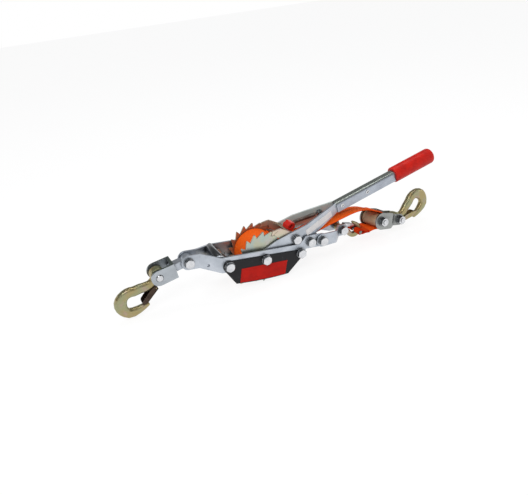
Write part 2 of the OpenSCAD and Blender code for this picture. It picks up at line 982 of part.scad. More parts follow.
module block_cheek() {
    color("silver")
        bent_plate(cheek_path, cheek_t, -30, 30, [[0, 0], [block_len, 0]]) {
            across([block_len, 0], 12.5, -60, 0);
            across([0, 0], cheek_r, -60, 0);
            slab(-60, 0)
                polygon([
                    [0, cheek_r], [block_bend[0] - 2, cheek_r - 1.2], [block_bend[1], 13], [block_len, 12.5],
                    [block_len, -12.5], [block_bend[1], -13], [block_bend[0] - 2, 1.2 - cheek_r], [0, -cheek_r]
                ]);
        }
}

module block_cheek_near() {
    block_frame()
        block_cheek();
}

module block_cheek_far() {
    block_frame()
        far_side()
            block_cheek();
}

module pulley_bolt() {
    color("gainsboro")
        block_frame()
            far_side()
                cross_bolt([0, 0], block_half);
}

module rear_hook_bolt() {
    color("gainsboro")
        block_frame() {
            far_side()
                cross_bolt([block_len, 0], block_tail_half);
            for (side = [0, 1])
                mirror([0, side, 0])
                    difference() {
                        across([block_len, 0], 8, -block_tail_half + cheek_t,
                            -8 * rear_size - gap);
                        across([block_len, 0], bolt_r, -30, 0);
                    }
        }
}

module strap_pulley() {
    half = block_half - cheek_t - gap;
    color([0.72, 0.6, 0.42])
        block_frame()
            rotate([90, 0, 0])
                translate([0, 0, -half])
                    rotate_extrude()
                        polygon([
                            [bolt_r + fit, 0], [pulley_r - 1, 0], [pulley_r, 1],
                            [pulley_r, 2 * half - 1], [pulley_r - 1, 2 * half], [bolt_r + fit, 2 * half]
                        ]);
}

module rear_hook_frame() {
    block_frame()
        translate([block_len, 0, 0])
            rotate([0, -rear_hook_angle, 0])
                mirror([0, 0, 1])
                    children();
}

module rear_hook() {
    color([0.8, 0.72, 0.42])
        rear_hook_frame() {
            hook_body(rear_size);
            latch_pin(rear_size);
        }
}

module rear_latch() {
    color("dimgray")
        rear_hook_frame()
            latch_body(rear_size);
}

// ---------------------------------------------------------------- free strap

level = [0, 1, 0];                   // width direction of the strap beside the frame
function turn_x(p, a) = [p[0], p[1] * cos(a) - p[2] * sin(a), p[1] * sin(a) + p[2] * cos(a)];
function turn_y(p, a) = [p[0] * cos(a) + p[2] * sin(a), p[1], -p[0] * sin(a) + p[2] * cos(a)];
function turn_z(p, a) = [p[0] * cos(a) - p[1] * sin(a), p[0] * sin(a) + p[1] * cos(a), p[2]];

// A point or direction of the pulley block, seen from the frame.
function block_dir(p) = turn_z(turn_y(turn_x(p, block_turn[0]), block_turn[1]), block_turn[2]);
function block_point(p) = [block_x, 0, block_z] + block_dir(p);
wrap_r = pulley_r + strap_t / 2 + gap;
block_level = block_dir(level);

// A level stretch of strap through [x, z] points.
function run(points) = [for (p = points) [[p[0], 0, p[1]], level]];

// A stretch on the pulley, from angle a0 to a1.
function on_pulley(a0, a1) = [
    for (i = [0:8])
        let (a = a0 + (a1 - a0) * i / 8)
        [block_point([wrap_r * cos(a), 0, wrap_r * sin(a)]), block_level]
];

wrap_end = -96;                      // angle at which the strap leaves the pulley
leave = 50;                          // angle at which the strap leaves the coil
leave_r = coil_r + strap_t / 2 + gap;
front_points = [
    leave_r * [cos(leave), sin(leave)], [34, 27.6], [41, 23.6], [50, 21.2], [60, 20.4], [70, 20.8],
    [84, 22.9], [100, 26.4], [116, 31], [134, 37], [150, 42.5]
];
upper_points = [[150.4, 42.6], [168, 48], [186, 52.6], [204, 55.6], [222, 56.8], [240, 55.8], [254, 53]];
sewn_x = 256.5;                      // where the sewn end of the strap starts
anchor_slot = 7.4 * anchor_size + 0.8;
pin_r = 3.5;                         // pin in the sewn end of the strap
eye_r = pin_r + 0.3 + strap_t;       // outer radius of the sewn eye round it
bowl_r = (22.5 - 9.4) * anchor_size;
pin_out = 69 * anchor_size + bowl_r - pin_r - 0.5;
pin_at = link_end + pin_out * [cos(anchor_angle), -sin(anchor_angle)];

module strap_front() {
    color([0.95, 0.4, 0.08])
        webbing(run(front_points));
}

module strap_upper() {
    color([0.95, 0.4, 0.08])
        webbing(concat(
            run(upper_points),
            [[block_point([-7, 0, 24]), level + 0.6 * (block_level - level)]],
            [on_pulley(68, wrap_end)[0]]
        ));
}

module strap_wrap() {
    color([0.95, 0.4, 0.08])
        webbing(on_pulley(66, wrap_end));
}

module strap_lower() {
    color([0.95, 0.4, 0.08])
        webbing([
            [block_point([-2.6, 0, -wrap_r]), block_level],
            [block_point([-10, 0, -wrap_r]), block_level],
            [block_point([-17, 0, -wrap_r + 0.4]), level + 0.4 * (block_level - level)],
            [[sewn_x + 1, 0, pin_at[1] - 2], level]
        ]);
}

// The sewn eye of the strap's end, slotted for its hook, and the doubled webbing behind it.
module strap_eye() {
    color([0.8, 0.25, 0.06])
        difference() {
            union() {
                across(pin_at, eye_r, -strap_w / 2, strap_w / 2);
                slab(-strap_w / 2, strap_w / 2)
                    polygon([
                        pin_at + [1, eye_r], pin_at + [14, 1.4], [sewn_x, pin_at[1] + 0.3],
                        [sewn_x, pin_at[1] - 4.3], pin_at + [14, -4.4], pin_at + [-1, -eye_r]
                    ]);
            }
            across(pin_at, pin_r + 0.2, -strap_w, strap_w);
            slab(-anchor_slot, anchor_slot)
                polygon([pin_at + [-12, 9], pin_at + [16.5, 9], pin_at + [16.5, -9], pin_at + [-12, -9]]);
        }
}

module strap_pin() {
    color("silver")
        across(pin_at, pin_r, -strap_w / 2 - 1, strap_w / 2 + 1);
}

// ---------------------------------------------------------------- assembly

lay() {
    side_plate();  // side_plate_near
    far_side() side_plate();  // side_plate_far
    guard();  // guard_near
    far_side() guard();  // guard_far
    guard_panel();
    nose_bolt();
    nose_spacer();
    guard_bolt_left();
    drum_axle_bolt();
    guard_bolt_right();
    right_spacer();
    neck_bolt();
    ratchet_wheel();  // ratchet_near
    far_side() ratchet_wheel();  // ratchet_far
    drum_tube();
    strap_wound();
    holding_pawl();
    holding_pawl_spring();
    yoke_arm();  // yoke_arm_near
    far_side() yoke_arm(5);  // yoke_arm_far
    handle_channel();
    handle_grip();
    arm_strip();
    lap_rivets();
    pawl_bolt();
    stop_bolt();
    drive_pawl();
    pawl_tab();
    drive_pawl_spring();
    swivel_eye();
    clevis();
    front_hook_pin();
    front_hook();
    front_latch();
    link_plate();  // link_near
    far_side() link_plate();  // link_far
    link_bolt();
    anchor_bolt();
    anchor_hook();
    anchor_latch();
    block_cheek_near();
    block_cheek_far();
    pulley_bolt();
    rear_hook_bolt();
    strap_pulley();
    rear_hook();
    rear_latch();
    strap_front();
    strap_upper();
    strap_wrap();
    strap_lower();
    strap_eye();
    strap_pin();
}
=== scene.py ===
"""Dresses the two-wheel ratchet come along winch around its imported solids.

The winch lies on a pale studio floor. Rigid nodes keep their solids and get plated, coated or
moulded finishes; the webbing, the coil on the drum, the springs and the forged hooks are made
here and stand for their nodes.
"""

from __future__ import annotations

import logging
import math
from dataclasses import dataclass, field
from enum import Enum
from typing import Callable, ClassVar, Iterable, Sequence

import bpy  # noqa: E402
from mathutils import Matrix, Vector  # noqa: E402


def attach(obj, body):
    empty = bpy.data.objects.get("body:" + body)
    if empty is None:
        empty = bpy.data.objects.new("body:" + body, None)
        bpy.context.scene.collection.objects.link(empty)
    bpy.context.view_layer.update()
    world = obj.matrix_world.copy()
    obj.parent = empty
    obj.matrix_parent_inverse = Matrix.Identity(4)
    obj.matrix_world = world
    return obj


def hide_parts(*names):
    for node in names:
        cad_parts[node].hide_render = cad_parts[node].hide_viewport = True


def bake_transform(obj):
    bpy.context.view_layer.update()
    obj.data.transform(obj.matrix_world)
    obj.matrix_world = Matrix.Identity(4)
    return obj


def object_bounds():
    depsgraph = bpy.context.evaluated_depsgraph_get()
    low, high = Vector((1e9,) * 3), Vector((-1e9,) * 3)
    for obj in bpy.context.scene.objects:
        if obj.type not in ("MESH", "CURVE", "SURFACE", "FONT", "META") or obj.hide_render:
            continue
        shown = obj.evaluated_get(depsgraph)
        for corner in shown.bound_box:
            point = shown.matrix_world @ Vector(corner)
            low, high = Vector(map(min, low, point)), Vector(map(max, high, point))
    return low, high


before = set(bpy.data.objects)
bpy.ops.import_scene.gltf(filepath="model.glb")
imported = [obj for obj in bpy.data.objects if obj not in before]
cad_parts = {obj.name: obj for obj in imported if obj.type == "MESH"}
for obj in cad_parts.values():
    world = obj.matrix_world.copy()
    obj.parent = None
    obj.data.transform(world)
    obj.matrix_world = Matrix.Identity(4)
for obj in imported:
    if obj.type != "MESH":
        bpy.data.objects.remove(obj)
CAD_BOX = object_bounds()
LOG = logging.getLogger("winch")
MM = 0.001
NEAR = 0.01  # millimetres within which two places count as one
Object = bpy.types.Object
Colour = tuple[float, float, float]
Point = tuple[float, float, float]
Span = tuple[float, float]
Run = tuple[tuple[float, ...], ...]


class Slot(Enum):
    """The record's material slots, one named for each kind of piece made here."""

    YELLOW = "yellow_zinc"
    STRIP = "white_strip"
    WEBBING = "orange_webbing"
    SPRING = "spring_steel"


class Held(Enum):
    """How a length of webbing is held."""

    STRETCHED = "stretched"
    FOLDED = "folded"


# ---------------------------------------------------------------- placing


@dataclass(frozen=True)
class Lay:
    """How the winch's own drawing frame lies in the row frame."""

    slope: float = 8.0
    shift: float = 72.0
    drop: float = 53.2

    def turn(self, v: Sequence[float]) -> Vector:
        """Turns a direction of the drawing frame into the row frame.

        Args:
            v: the direction.

        Returns:
            The turned direction.
        """
        a = math.radians(self.slope)
        x, y, z = v
        return Vector((x * math.cos(a) + z * math.sin(a), y, -x * math.sin(a) + z * math.cos(a)))

    def put(self, p: Sequence[float]) -> Vector:
        """Places a point of the drawing frame, in millimetres, in the row frame in metres."""
        return (self.turn(p) + Vector((-self.shift, 0.0, self.drop))) * MM

    def matrix(self) -> Matrix:
        """The same placing as a matrix, for a mesh modelled in the drawing frame."""
        axes = [self.turn(v) * MM for v in Matrix.Identity(3)]
        return Matrix.Translation(self.put((0.0, 0.0, 0.0))) @ Matrix(axes).transposed().to_4x4()


LAY = Lay()


# ---------------------------------------------------------------- mesh tools


def deselect() -> None:
    """Goes to object mode and deselects everything."""
    if bpy.context.mode != "OBJECT":
        bpy.ops.object.mode_set(mode="OBJECT")
    bpy.ops.object.select_all(action="DESELECT")


def alone(obj: Object) -> Object:
    """Deselects everything, then selects one object and makes it active.

    Args:
        obj: the object to work on.

    Returns:
        The same object.
    """
    deselect()
    obj.select_set(True)
    bpy.context.view_layer.objects.active = obj
    return obj


def choose_points(obj: Object, test: Callable[[Vector], bool]) -> None:
    """Selects an object's vertices by their place, and enters edit mode.

    Args:
        obj: a mesh object.
        test: says for a vertex's place whether it is wanted.
    """
    alone(obj)
    bpy.context.tool_settings.mesh_select_mode = (True, False, False)
    for part in (*obj.data.polygons, *obj.data.edges):
        part.select = False
    for vertex in obj.data.vertices:
        vertex.select = test(vertex.co)
    bpy.ops.object.mode_set(mode="EDIT")


def choose_all(obj: Object) -> None:
    """Selects all of an object, and enters edit mode.

    Args:
        obj: a mesh object.
    """
    alone(obj)
    bpy.ops.object.mode_set(mode="EDIT")
    bpy.ops.mesh.select_all(action="SELECT")


def leave_edit() -> None:
    """Goes back to object mode."""
    bpy.ops.object.mode_set(mode="OBJECT")


def apply_all(obj: Object) -> Object:
    """Applies every modifier of an object, in order.

    Args:
        obj: a mesh object.

    Returns:
        The same object.
    """
    alone(obj)
    for modifier in list(obj.modifiers):
        bpy.ops.object.modifier_apply(modifier=modifier.name)
    return obj


def outward(obj: Object) -> Object:
    """Merges doubled vertices and turns all faces outwards.

    Args:
        obj: a mesh object.

    Returns:
        The same object.
    """
    choose_all(obj)
    bpy.ops.mesh.remove_doubles(threshold=1e-6)
    bpy.ops.mesh.normals_make_consistent(inside=False)
    leave_edit()
    return obj


def smooth(obj: Object, angle: float = 35.0) -> Object:
    """Shades an object smooth where its faces meet at less than an angle.

    Args:
        obj: a mesh object.
        angle: the limit in degrees.

    Returns:
        The same object.
    """
    alone(obj)
    bpy.ops.object.shade_smooth_by_angle(angle=math.radians(angle))
    return obj


def linked(name: str, data: bpy.types.ID) -> Object:
    """Puts a mesh, lamp or camera into the scene.

    Args:
        name: name of the object.
        data: what the object shows.

    Returns:
        The new object, at the origin.
    """
    obj = bpy.data.objects.new(name, data)
    bpy.context.scene.collection.objects.link(obj)
    return obj


def copy_of_node(name: str, node: str) -> Object:
    """Makes a welded copy of a CAD node's mesh as an object of its own.

    Args:
        name: name of the new piece.
        node: the CAD node to copy.

    Returns:
        The new object, at the origin.
    """
    obj = linked(name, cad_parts[node].data.copy())
    obj.data.materials.clear()
    alone(obj)
    bpy.ops.mesh.customdata_custom_splitnormals_clear()
    return outward(obj)


def mesh_piece(name: str, points: list[Vector], faces: list[tuple[int, ...]]) -> Object:
    """Makes an object from points and faces.

    Args:
        name: name of the piece.
        points: the vertices in the row frame.
        faces: indices of each face's vertices.

    Returns:
        The new object, at the origin.
    """
    mesh = bpy.data.meshes.new(name)
    mesh.from_pydata(points, [], faces)
    mesh.update()
    return linked(name, mesh)


def weave_map(obj: Object, mark: Callable[[bpy.types.MeshLoop], tuple[float, float]]) -> Object:
    """Gives webbing the map that its weave is read from.

    Args:
        obj: a piece of webbing.
        mark: place along and across the strap, in metres, at a corner of a face.

    Returns:
        The same object.
    """
    layer = obj.data.uv_layers.new(name="weave")
    for loop in obj.data.loops:
        layer.data[loop.index].uv = mark(loop)
    return obj


def named(obj: Object, name: str) -> Object:
    """Gives an object and its mesh one name."""
    obj.name = obj.data.name = name
    return obj


def joined(parts: list[Object], name: str) -> Object:
    """Joins objects as one piece.

    Args:
        parts: the objects.
        name: name of the piece.

    Returns:
        The piece.
    """
    alone(parts[0])
    for part in parts[1:]:
        part.select_set(True)
    bpy.ops.object.join()
    return named(bpy.context.view_layer.objects.active, name)


# ---------------------------------------------------------------- shader maths


class Value:
    """A node socket that adds maths nodes when it is used in an expression."""

    def __init__(self, nodes: Nodes, socket: bpy.types.NodeSocket) -> None:
        """Wraps an output socket."""
        self.nodes = nodes
        self.socket = socket

    def _maths(self, operation: str, *values: Value | float) -> Value:
        """Adds one Math node."""
        return self.nodes.node("ShaderNodeMath", {"operation": operation}, *values)

    def __add__(self, other: Value | float) -> Value:
        """Sum."""
        return self._maths("ADD", self, other)

    __radd__ = __add__

    def __sub__(self, other: Value | float) -> Value:
        """Difference."""
        return self._maths("SUBTRACT", self, other)

    def __rsub__(self, other: Value | float) -> Value:
        """Reflected difference."""
        return self._maths("SUBTRACT", other, self)

    def __mul__(self, other: Value | float) -> Value:
        """Product."""
        return self._maths("MULTIPLY", self, other)

    __rmul__ = __mul__

    def sine(self) -> Value:
        """Sine of the value in radians."""
        return self._maths("SINE", self)

    def size(self) -> Value:
        """Absolute value."""
        return self._maths("ABSOLUTE", self)

    def least(self, other: Value | float) -> Value:
        """The smaller of two."""
        return self._maths("MINIMUM", self, other)

    def part(self, axis: str) -> Value:
        """One component of a vector, "X", "Y" or "Z"."""
        return self.nodes.node("ShaderNodeSeparateXYZ", None, self, out=axis)

    def ramp(self, low: float, high: float) -> Value:
        """Goes from 0 at low to 1 at high, held at the ends."""
        settings = {"interpolation_type": "SMOOTHSTEP"}
        return self.nodes.node("ShaderNodeMapRange", settings, self, low, high, 0.0, 1.0)


class Nodes:
    """A node tree under construction."""

    def __init__(self, tree: bpy.types.NodeTree) -> None:
        """Wraps a material's or a world's tree."""
        self.tree = tree

    def node(self, kind: str, settings: dict | None = None, *values: object, out: int | str = 0) -> Value:
        """Adds any node.

        Args:
            kind: the node's type.
            settings: its properties, set before its sockets; "stops" fills a colour ramp.
            values: a number, colour, vector or Value for each input in turn; None leaves one alone.
            out: which output is wanted.

        Returns:
            That output.
        """
        made = self.tree.nodes.new(kind)
        for key, value in (settings or {}).items():
            if key == "stops":
                self.fill(made.color_ramp, value)
            else:
                setattr(made, key, value)
        for socket, value in zip((s for s in made.inputs if s.enabled), values):
            if value is not None:
                self.feed(socket, value)
        outputs = [s for s in made.outputs if s.enabled]
        return Value(self, made.outputs[out] if isinstance(out, str) else outputs[out])

    def fill(self, ramp: bpy.types.ColorRamp, stops: Sequence[tuple[float, Colour]]) -> None:
        """Sets the stops of a colour ramp.

        Args:
            ramp: the ramp.
            stops: place and colour of each stop, in order.
        """
        while len(ramp.elements) < len(stops):
            ramp.elements.new(0.5)
        for element, (place, colour) in zip(ramp.elements, stops):
            element.position = place
            element.color = (*colour, 1.0)

    def feed(self, socket: bpy.types.NodeSocket, value: object) -> None:
        """Links an input to a Value, or sets it to a number, colour or vector.

        Args:
            socket: the input.
            value: what it gets.
        """
        if isinstance(value, Value):
            self.tree.links.new(value.socket, socket)
        elif hasattr(value, "__len__") and len(value) == 3 and len(socket.default_value) == 4:
            socket.default_value = (*value, 1.0)
        else:
            socket.default_value = value

    def mix(self, share: Value | float, a: Value | Colour, b: Value | Colour) -> Value:
        """Mixes two colours.

        Args:
            share: how much of b.
            a: colour at 0.
            b: colour at 1.

        Returns:
            The mixed colour.
        """
        return self.node("ShaderNodeMix", {"data_type": "RGBA"}, share, a, b)


@dataclass(frozen=True)
class Grain:
    """A noise pattern about 0.5: cells in a metre, octaves and strength of the fine ones."""

    cells: float
    octaves: float = 4.0
    rough: float = 0.6
    stretch: Point = (1.0, 1.0, 1.0)
    turn: Point = (0.0, 0.0, 0.0)


@dataclass(frozen=True)
class Relief:
    """A bump's strength and its depth in metres."""

    strength: float
    depth: float


class Paint(Nodes):
    """A material's node tree round one Principled shader."""

    def __init__(self, name: str) -> None:
        """Starts a material with a Principled shader and its output.

        Args:
            name: the material's name.
        """
        self.material = bpy.data.materials.new(name)
        self.material.use_nodes = True
        super().__init__(self.material.node_tree)
        self.shader = self.tree.nodes["Principled BSDF"]

    def noise(self, grain: Grain) -> Value:
        """Spreads a noise pattern over the object's own coordinates.

        Args:
            grain: the pattern.

        Returns:
            The noise value.
        """
        base = self.node("ShaderNodeTexCoord", out="Object")
        angles = tuple(math.radians(a) for a in grain.turn)
        where = self.node("ShaderNodeMapping", {"vector_type": "POINT"}, base, None, angles, grain.stretch)
        return self.node("ShaderNodeTexNoise", None, where, grain.cells, grain.octaves, grain.rough)

    def facing(self, axis: str) -> Value:
        """How far a face looks along one axis of the object, -1 to 1."""
        return self.node("ShaderNodeTexCoord", out="Normal").part(axis)

    def open_air(self, reach: float) -> Value:
        """How open a place is: 0 deep in a gap, 1 on an open face, over a reach in metres."""
        settings = {"samples": 12, "only_local": False}
        return self.node("ShaderNodeAmbientOcclusion", settings, None, reach, out="AO")

    def bump(self, height: Value, relief: Relief, under: Value | None = None) -> Value:
        """Adds a Bump node.

        Args:
            height: the height pattern.
            relief: its strength and depth.
            under: normal of a coarser bump below it.

        Returns:
            The normal.
        """
        return self.node("ShaderNodeBump", None, relief.strength, relief.depth, None, height, under)

    def set(self, **sockets: object) -> None:
        """Feeds the shader's own sockets.

        Args:
            sockets: a value for each socket, with underscores for the spaces in its name.
        """
        for key, value in sockets.items():
            self.feed(self.shader.inputs[key.replace("_", " ")], value)

    def surface(self, shown: Value) -> None:
        """Makes a shader what the material shows."""
        self.feed(self.tree.nodes["Material Output"].inputs["Surface"], shown)


# ---------------------------------------------------------------- finishes


def darker(colour: Colour, share: float) -> Colour:
    """Leaves a share of a colour's light."""
    return tuple(share * c for c in colour)


@dataclass(frozen=True)
class Finish:
    """Common work of the finishes."""

    def make(self, name: str) -> bpy.types.Material:
        """Builds the material.

        Args:
            name: the material's name.

        Returns:
            The finished material.
        """
        p = Paint(name)
        self.paint(p)
        return p.material

    def paint(self, p: Paint) -> None:
        """Sets the shader's sockets; each finish does it in its own way."""
        raise NotImplementedError


@dataclass(frozen=True)
class PlatedZinc(Finish):
    """Pressed steel with a bluish zinc plating: faint cloudy tone, draw lines and scuffs.

    Painted shade darkens the plating deep in gaps and, where a top colour is given, on upper faces.
    """

    light: Colour = (0.57, 0.61, 0.67)
    dull: Colour = (0.40, 0.44, 0.49)
    # colour of the painted shade on upper faces, if any
    top_shade: Colour | None = None
    # gap: reach in metres of the painted shade in gaps
    gap: float = 0.014
    metallic: float = 0.80
    smooth_at: float = 0.26
    rough_at: float = 0.42
    cloud: Grain = Grain(38.0, 5.0)
    lines: Grain = Grain(2400.0, 3.0, stretch=(0.12, 1.0, 1.0))
    scuff: Grain = Grain(620.0, 6.0, 0.75, (0.35, 1.0, 1.0), (12.0, 30.0, 8.0))
    cloud_tone: Span = (0.3, 0.7)
    cloud_rough: Span = (0.25, 0.75)
    scuffed: Span = (0.6, 0.74)
    upper: Span = (0.45, 0.85)
    opening: Span = (0.25, 0.85)
    cloud_share: float = 0.7
    scuff_share: float = 0.5
    scuff_rough: float = 0.10
    # share of colour left in the painted shade of gaps
    gap_shade_share: float = 0.30
    scuff_relief: Relief = Relief(0.12, 0.00006)
    line_relief: Relief = Relief(0.10, 0.00004)

    def paint(self, p: Paint) -> None:
        """Clouds and scuffs the plating and paints shade in gaps and on upper faces.

        Args:
            p: the material's nodes.
        """
        cloud = p.noise(self.cloud)
        scuff = p.noise(self.scuff).ramp(*self.scuffed)
        tone = (cloud.ramp(*self.cloud_tone) * self.cloud_share + scuff * self.scuff_share).least(1.0)
        film = p.mix(tone, self.light, self.dull)
        # painted shade: upper faces take the darker top colour
        if self.top_shade is not None:
            film = p.mix(p.facing("Z").ramp(*self.upper), film, self.top_shade)
        # painted shade: the colour that places deep in gaps are darkened to
        gap_shade = darker(self.dull, self.gap_shade_share)
        rough = cloud.ramp(*self.cloud_rough) * (self.rough_at - self.smooth_at)
        p.set(
            Base_Color=p.mix(p.open_air(self.gap).ramp(*self.opening), gap_shade, film),
            Roughness=rough + scuff * self.scuff_rough + self.smooth_at,
            Metallic=self.metallic,
            Normal=p.bump(scuff, self.scuff_relief, p.bump(p.noise(self.lines), self.line_relief)),
        )


@dataclass(frozen=True)
class Fastener(Finish):
    """Bright zinc of bolts and nuts: light ends, with painted shade on the flats and flanks round the
    cross axis and in gaps.
    """

    face: Colour = (0.74, 0.75, 0.77)
    cloudy: Colour = (0.48, 0.49, 0.52)
    # colour of the painted shade on flanks and in gaps
    flank_shade: Colour = (0.17, 0.18, 0.19)
    gap: float = 0.003
    metallic: float = 0.92
    cloud: Grain = Grain(120.0)
    turned: Grain = Grain(2600.0, 3.0, stretch=(1.0, 0.2, 1.0))
    cloud_tone: Span = (0.35, 0.7)
    end: Span = (0.55, 0.97)
    opening: Span = (0.35, 0.9)
    cloud_share: float = 0.5
    roughness: float = 0.16
    relief: Relief = Relief(0.12, 0.00005)

    def paint(self, p: Paint) -> None:
        """Keeps the ends light and paints shade on the flanks and in gaps.

        Args:
            p: the material's nodes.
        """
        cloud = p.noise(self.cloud)
        lit = p.mix(cloud.ramp(*self.cloud_tone) * self.cloud_share, self.face, self.cloudy)
        # painted shade: faces that do not look along the cross axis take the dark flank colour
        film = p.mix(p.facing("Y").size().ramp(*self.end), self.flank_shade, lit)
        p.set(
            # painted shade in gaps as well
            Base_Color=p.mix(p.open_air(self.gap).ramp(*self.opening), self.flank_shade, film),
            Roughness=cloud * self.roughness + self.roughness,
            Metallic=self.metallic,
            Normal=p.bump(p.noise(self.turned), self.relief),
        )


@dataclass(frozen=True)
class YellowChromate(Finish):
    """Yellow passivated zinc, whose film drifts between gold, green and pink."""

    gold: Colour = (0.40, 0.33, 0.16)
    green: Colour = (0.35, 0.35, 0.20)
    pink: Colour = (0.44, 0.33, 0.26)
    rubbed: Colour = (0.72, 0.71, 0.66)
    # gap: reach in metres of the painted shade in gaps; none at 0
    gap: float = 0.0
    metallic: float = 0.85
    roughness: float = 0.26
    grain: Grain = Grain(260.0, 5.0, 0.65)
    drift: Grain = Grain(46.0, 3.0, 0.5)
    other: Grain = Grain(62.0, 2.0, 0.5, turn=(40.0, 20.0, 70.0))
    greened: Span = (0.4, 0.62)
    pinked: Span = (0.52, 0.72)
    worn: Span = (0.62, 0.8)
    grained: Span = (0.2, 0.8)
    opening: Span = (0.2, 0.8)
    pink_share: float = 0.8
    worn_share: float = 0.5
    grain_rough: float = 0.2
    # share of colour left in the painted shade of gaps
    gap_shade_share: float = 0.22
    relief: Relief = Relief(0.22, 0.00018)

    def paint(self, p: Paint) -> None:
        """Lets the film drift, rubs it and paints shade in gaps.

        Args:
            p: the material's nodes.
        """
        grain = p.noise(self.grain)
        film = p.mix(p.noise(self.drift).ramp(*self.greened), self.gold, self.green)
        film = p.mix(p.noise(self.other).ramp(*self.pinked) * self.pink_share, film, self.pink)
        film = p.mix(grain.ramp(*self.worn) * self.worn_share, film, self.rubbed)
        # painted shade: places deep in gaps are darkened
        if self.gap > 0:
            gap_shade = darker(self.gold, self.gap_shade_share)
            film = p.mix(p.open_air(self.gap).ramp(*self.opening), gap_shade, film)
        p.set(
            Base_Color=film,
            Roughness=grain.ramp(*self.grained) * self.grain_rough + self.roughness,
            Metallic=self.metallic,
            Normal=p.bump(grain, self.relief),
        )


@dataclass(frozen=True)
class PunchedChromate(YellowChromate):
    """The same film on punched parts, finer in grain, with painted shade in gaps."""

    gap: float = 0.010
    metallic: float = 0.80
    grain: Grain = Grain(500.0, 5.0, 0.65)


@dataclass(frozen=True)
class PowderCoat(Finish):
    """Black powder coat with a fine orange peel and rubbed grey spots."""

    colour: Colour = (0.006, 0.006, 0.008)
    rubbed: Colour = (0.030, 0.031, 0.035)
    peel: Grain = Grain(900.0, 2.0, 0.5)
    rub: Grain = Grain(75.0, 7.0, 0.7)
    rubbing: Span = (0.56, 0.72)
    rub_rough: float = 0.16
    peel_rough: float = 0.08
    roughness: float = 0.30
    shine: float = 0.3
    relief: Relief = Relief(0.3, 0.00008)

    def paint(self, p: Paint) -> None:
        """Gives the coat its orange peel and rubs it grey in spots.

        Args:
            p: the material's nodes.
        """
        peel = p.noise(self.peel)
        rub = p.noise(self.rub).ramp(*self.rubbing)
        p.set(
            Base_Color=p.mix(rub, self.colour, self.rubbed),
            Roughness=rub * self.rub_rough + peel * self.peel_rough + self.roughness,
            Specular_IOR_Level=self.shine,
            Normal=p.bump(peel, self.relief),
        )


@dataclass(frozen=True)
class Moulded(Finish):
    """Soft or hard coloured plastic with a skin of fine grain."""

    colour: Colour
    shade: Colour
    roughness: float
    cells: float
    depth: float = 0.00005
    shine: float = 0.3
    patch: Grain = Grain(60.0, 5.0)
    patched: Span = (0.35, 0.7)
    patch_rough: float = 0.14
    grain_rough: float = 0.08
    strength: float = 0.25

    def paint(self, p: Paint) -> None:
        """Grains the skin and lets its colour vary in patches.

        Args:
            p: the material's nodes.
        """
        grain = p.noise(Grain(self.cells, 3.0))
        patch = p.noise(self.patch)
        p.set(
            Base_Color=p.mix(patch.ramp(*self.patched), self.colour, self.shade),
            Roughness=patch * self.patch_rough + grain * self.grain_rough + self.roughness,
            Specular_IOR_Level=self.shine,
            Normal=p.bump(grain, Relief(self.strength, self.depth)),
        )


@dataclass(frozen=True)
class Steel(Finish):
    """Bare or oiled steel of pins and springs."""

    colour: Colour
    roughness: float = 0.24
    metallic: float = 0.9
    grain: Grain = Grain(700.0)
    oil: Grain = Grain(90.0, 3.0, 0.5)
    oiled: Span = (0.4, 0.7)
    oil_shade: float = 0.55
    grain_rough: float = 0.2
    relief: Relief = Relief(0.2, 0.00005)

    def paint(self, p: Paint) -> None:
        """Grains the steel and darkens it where oil lies.

        Args:
            p: the material's nodes.
        """
        grain = p.noise(self.grain)
        dark = darker(self.colour, self.oil_shade)
        p.set(
            Base_Color=p.mix(p.noise(self.oil).ramp(*self.oiled), self.colour, dark),
            Roughness=grain * self.grain_rough + self.roughness,
            Metallic=self.metallic,
            Normal=p.bump(grain, self.relief),
        )


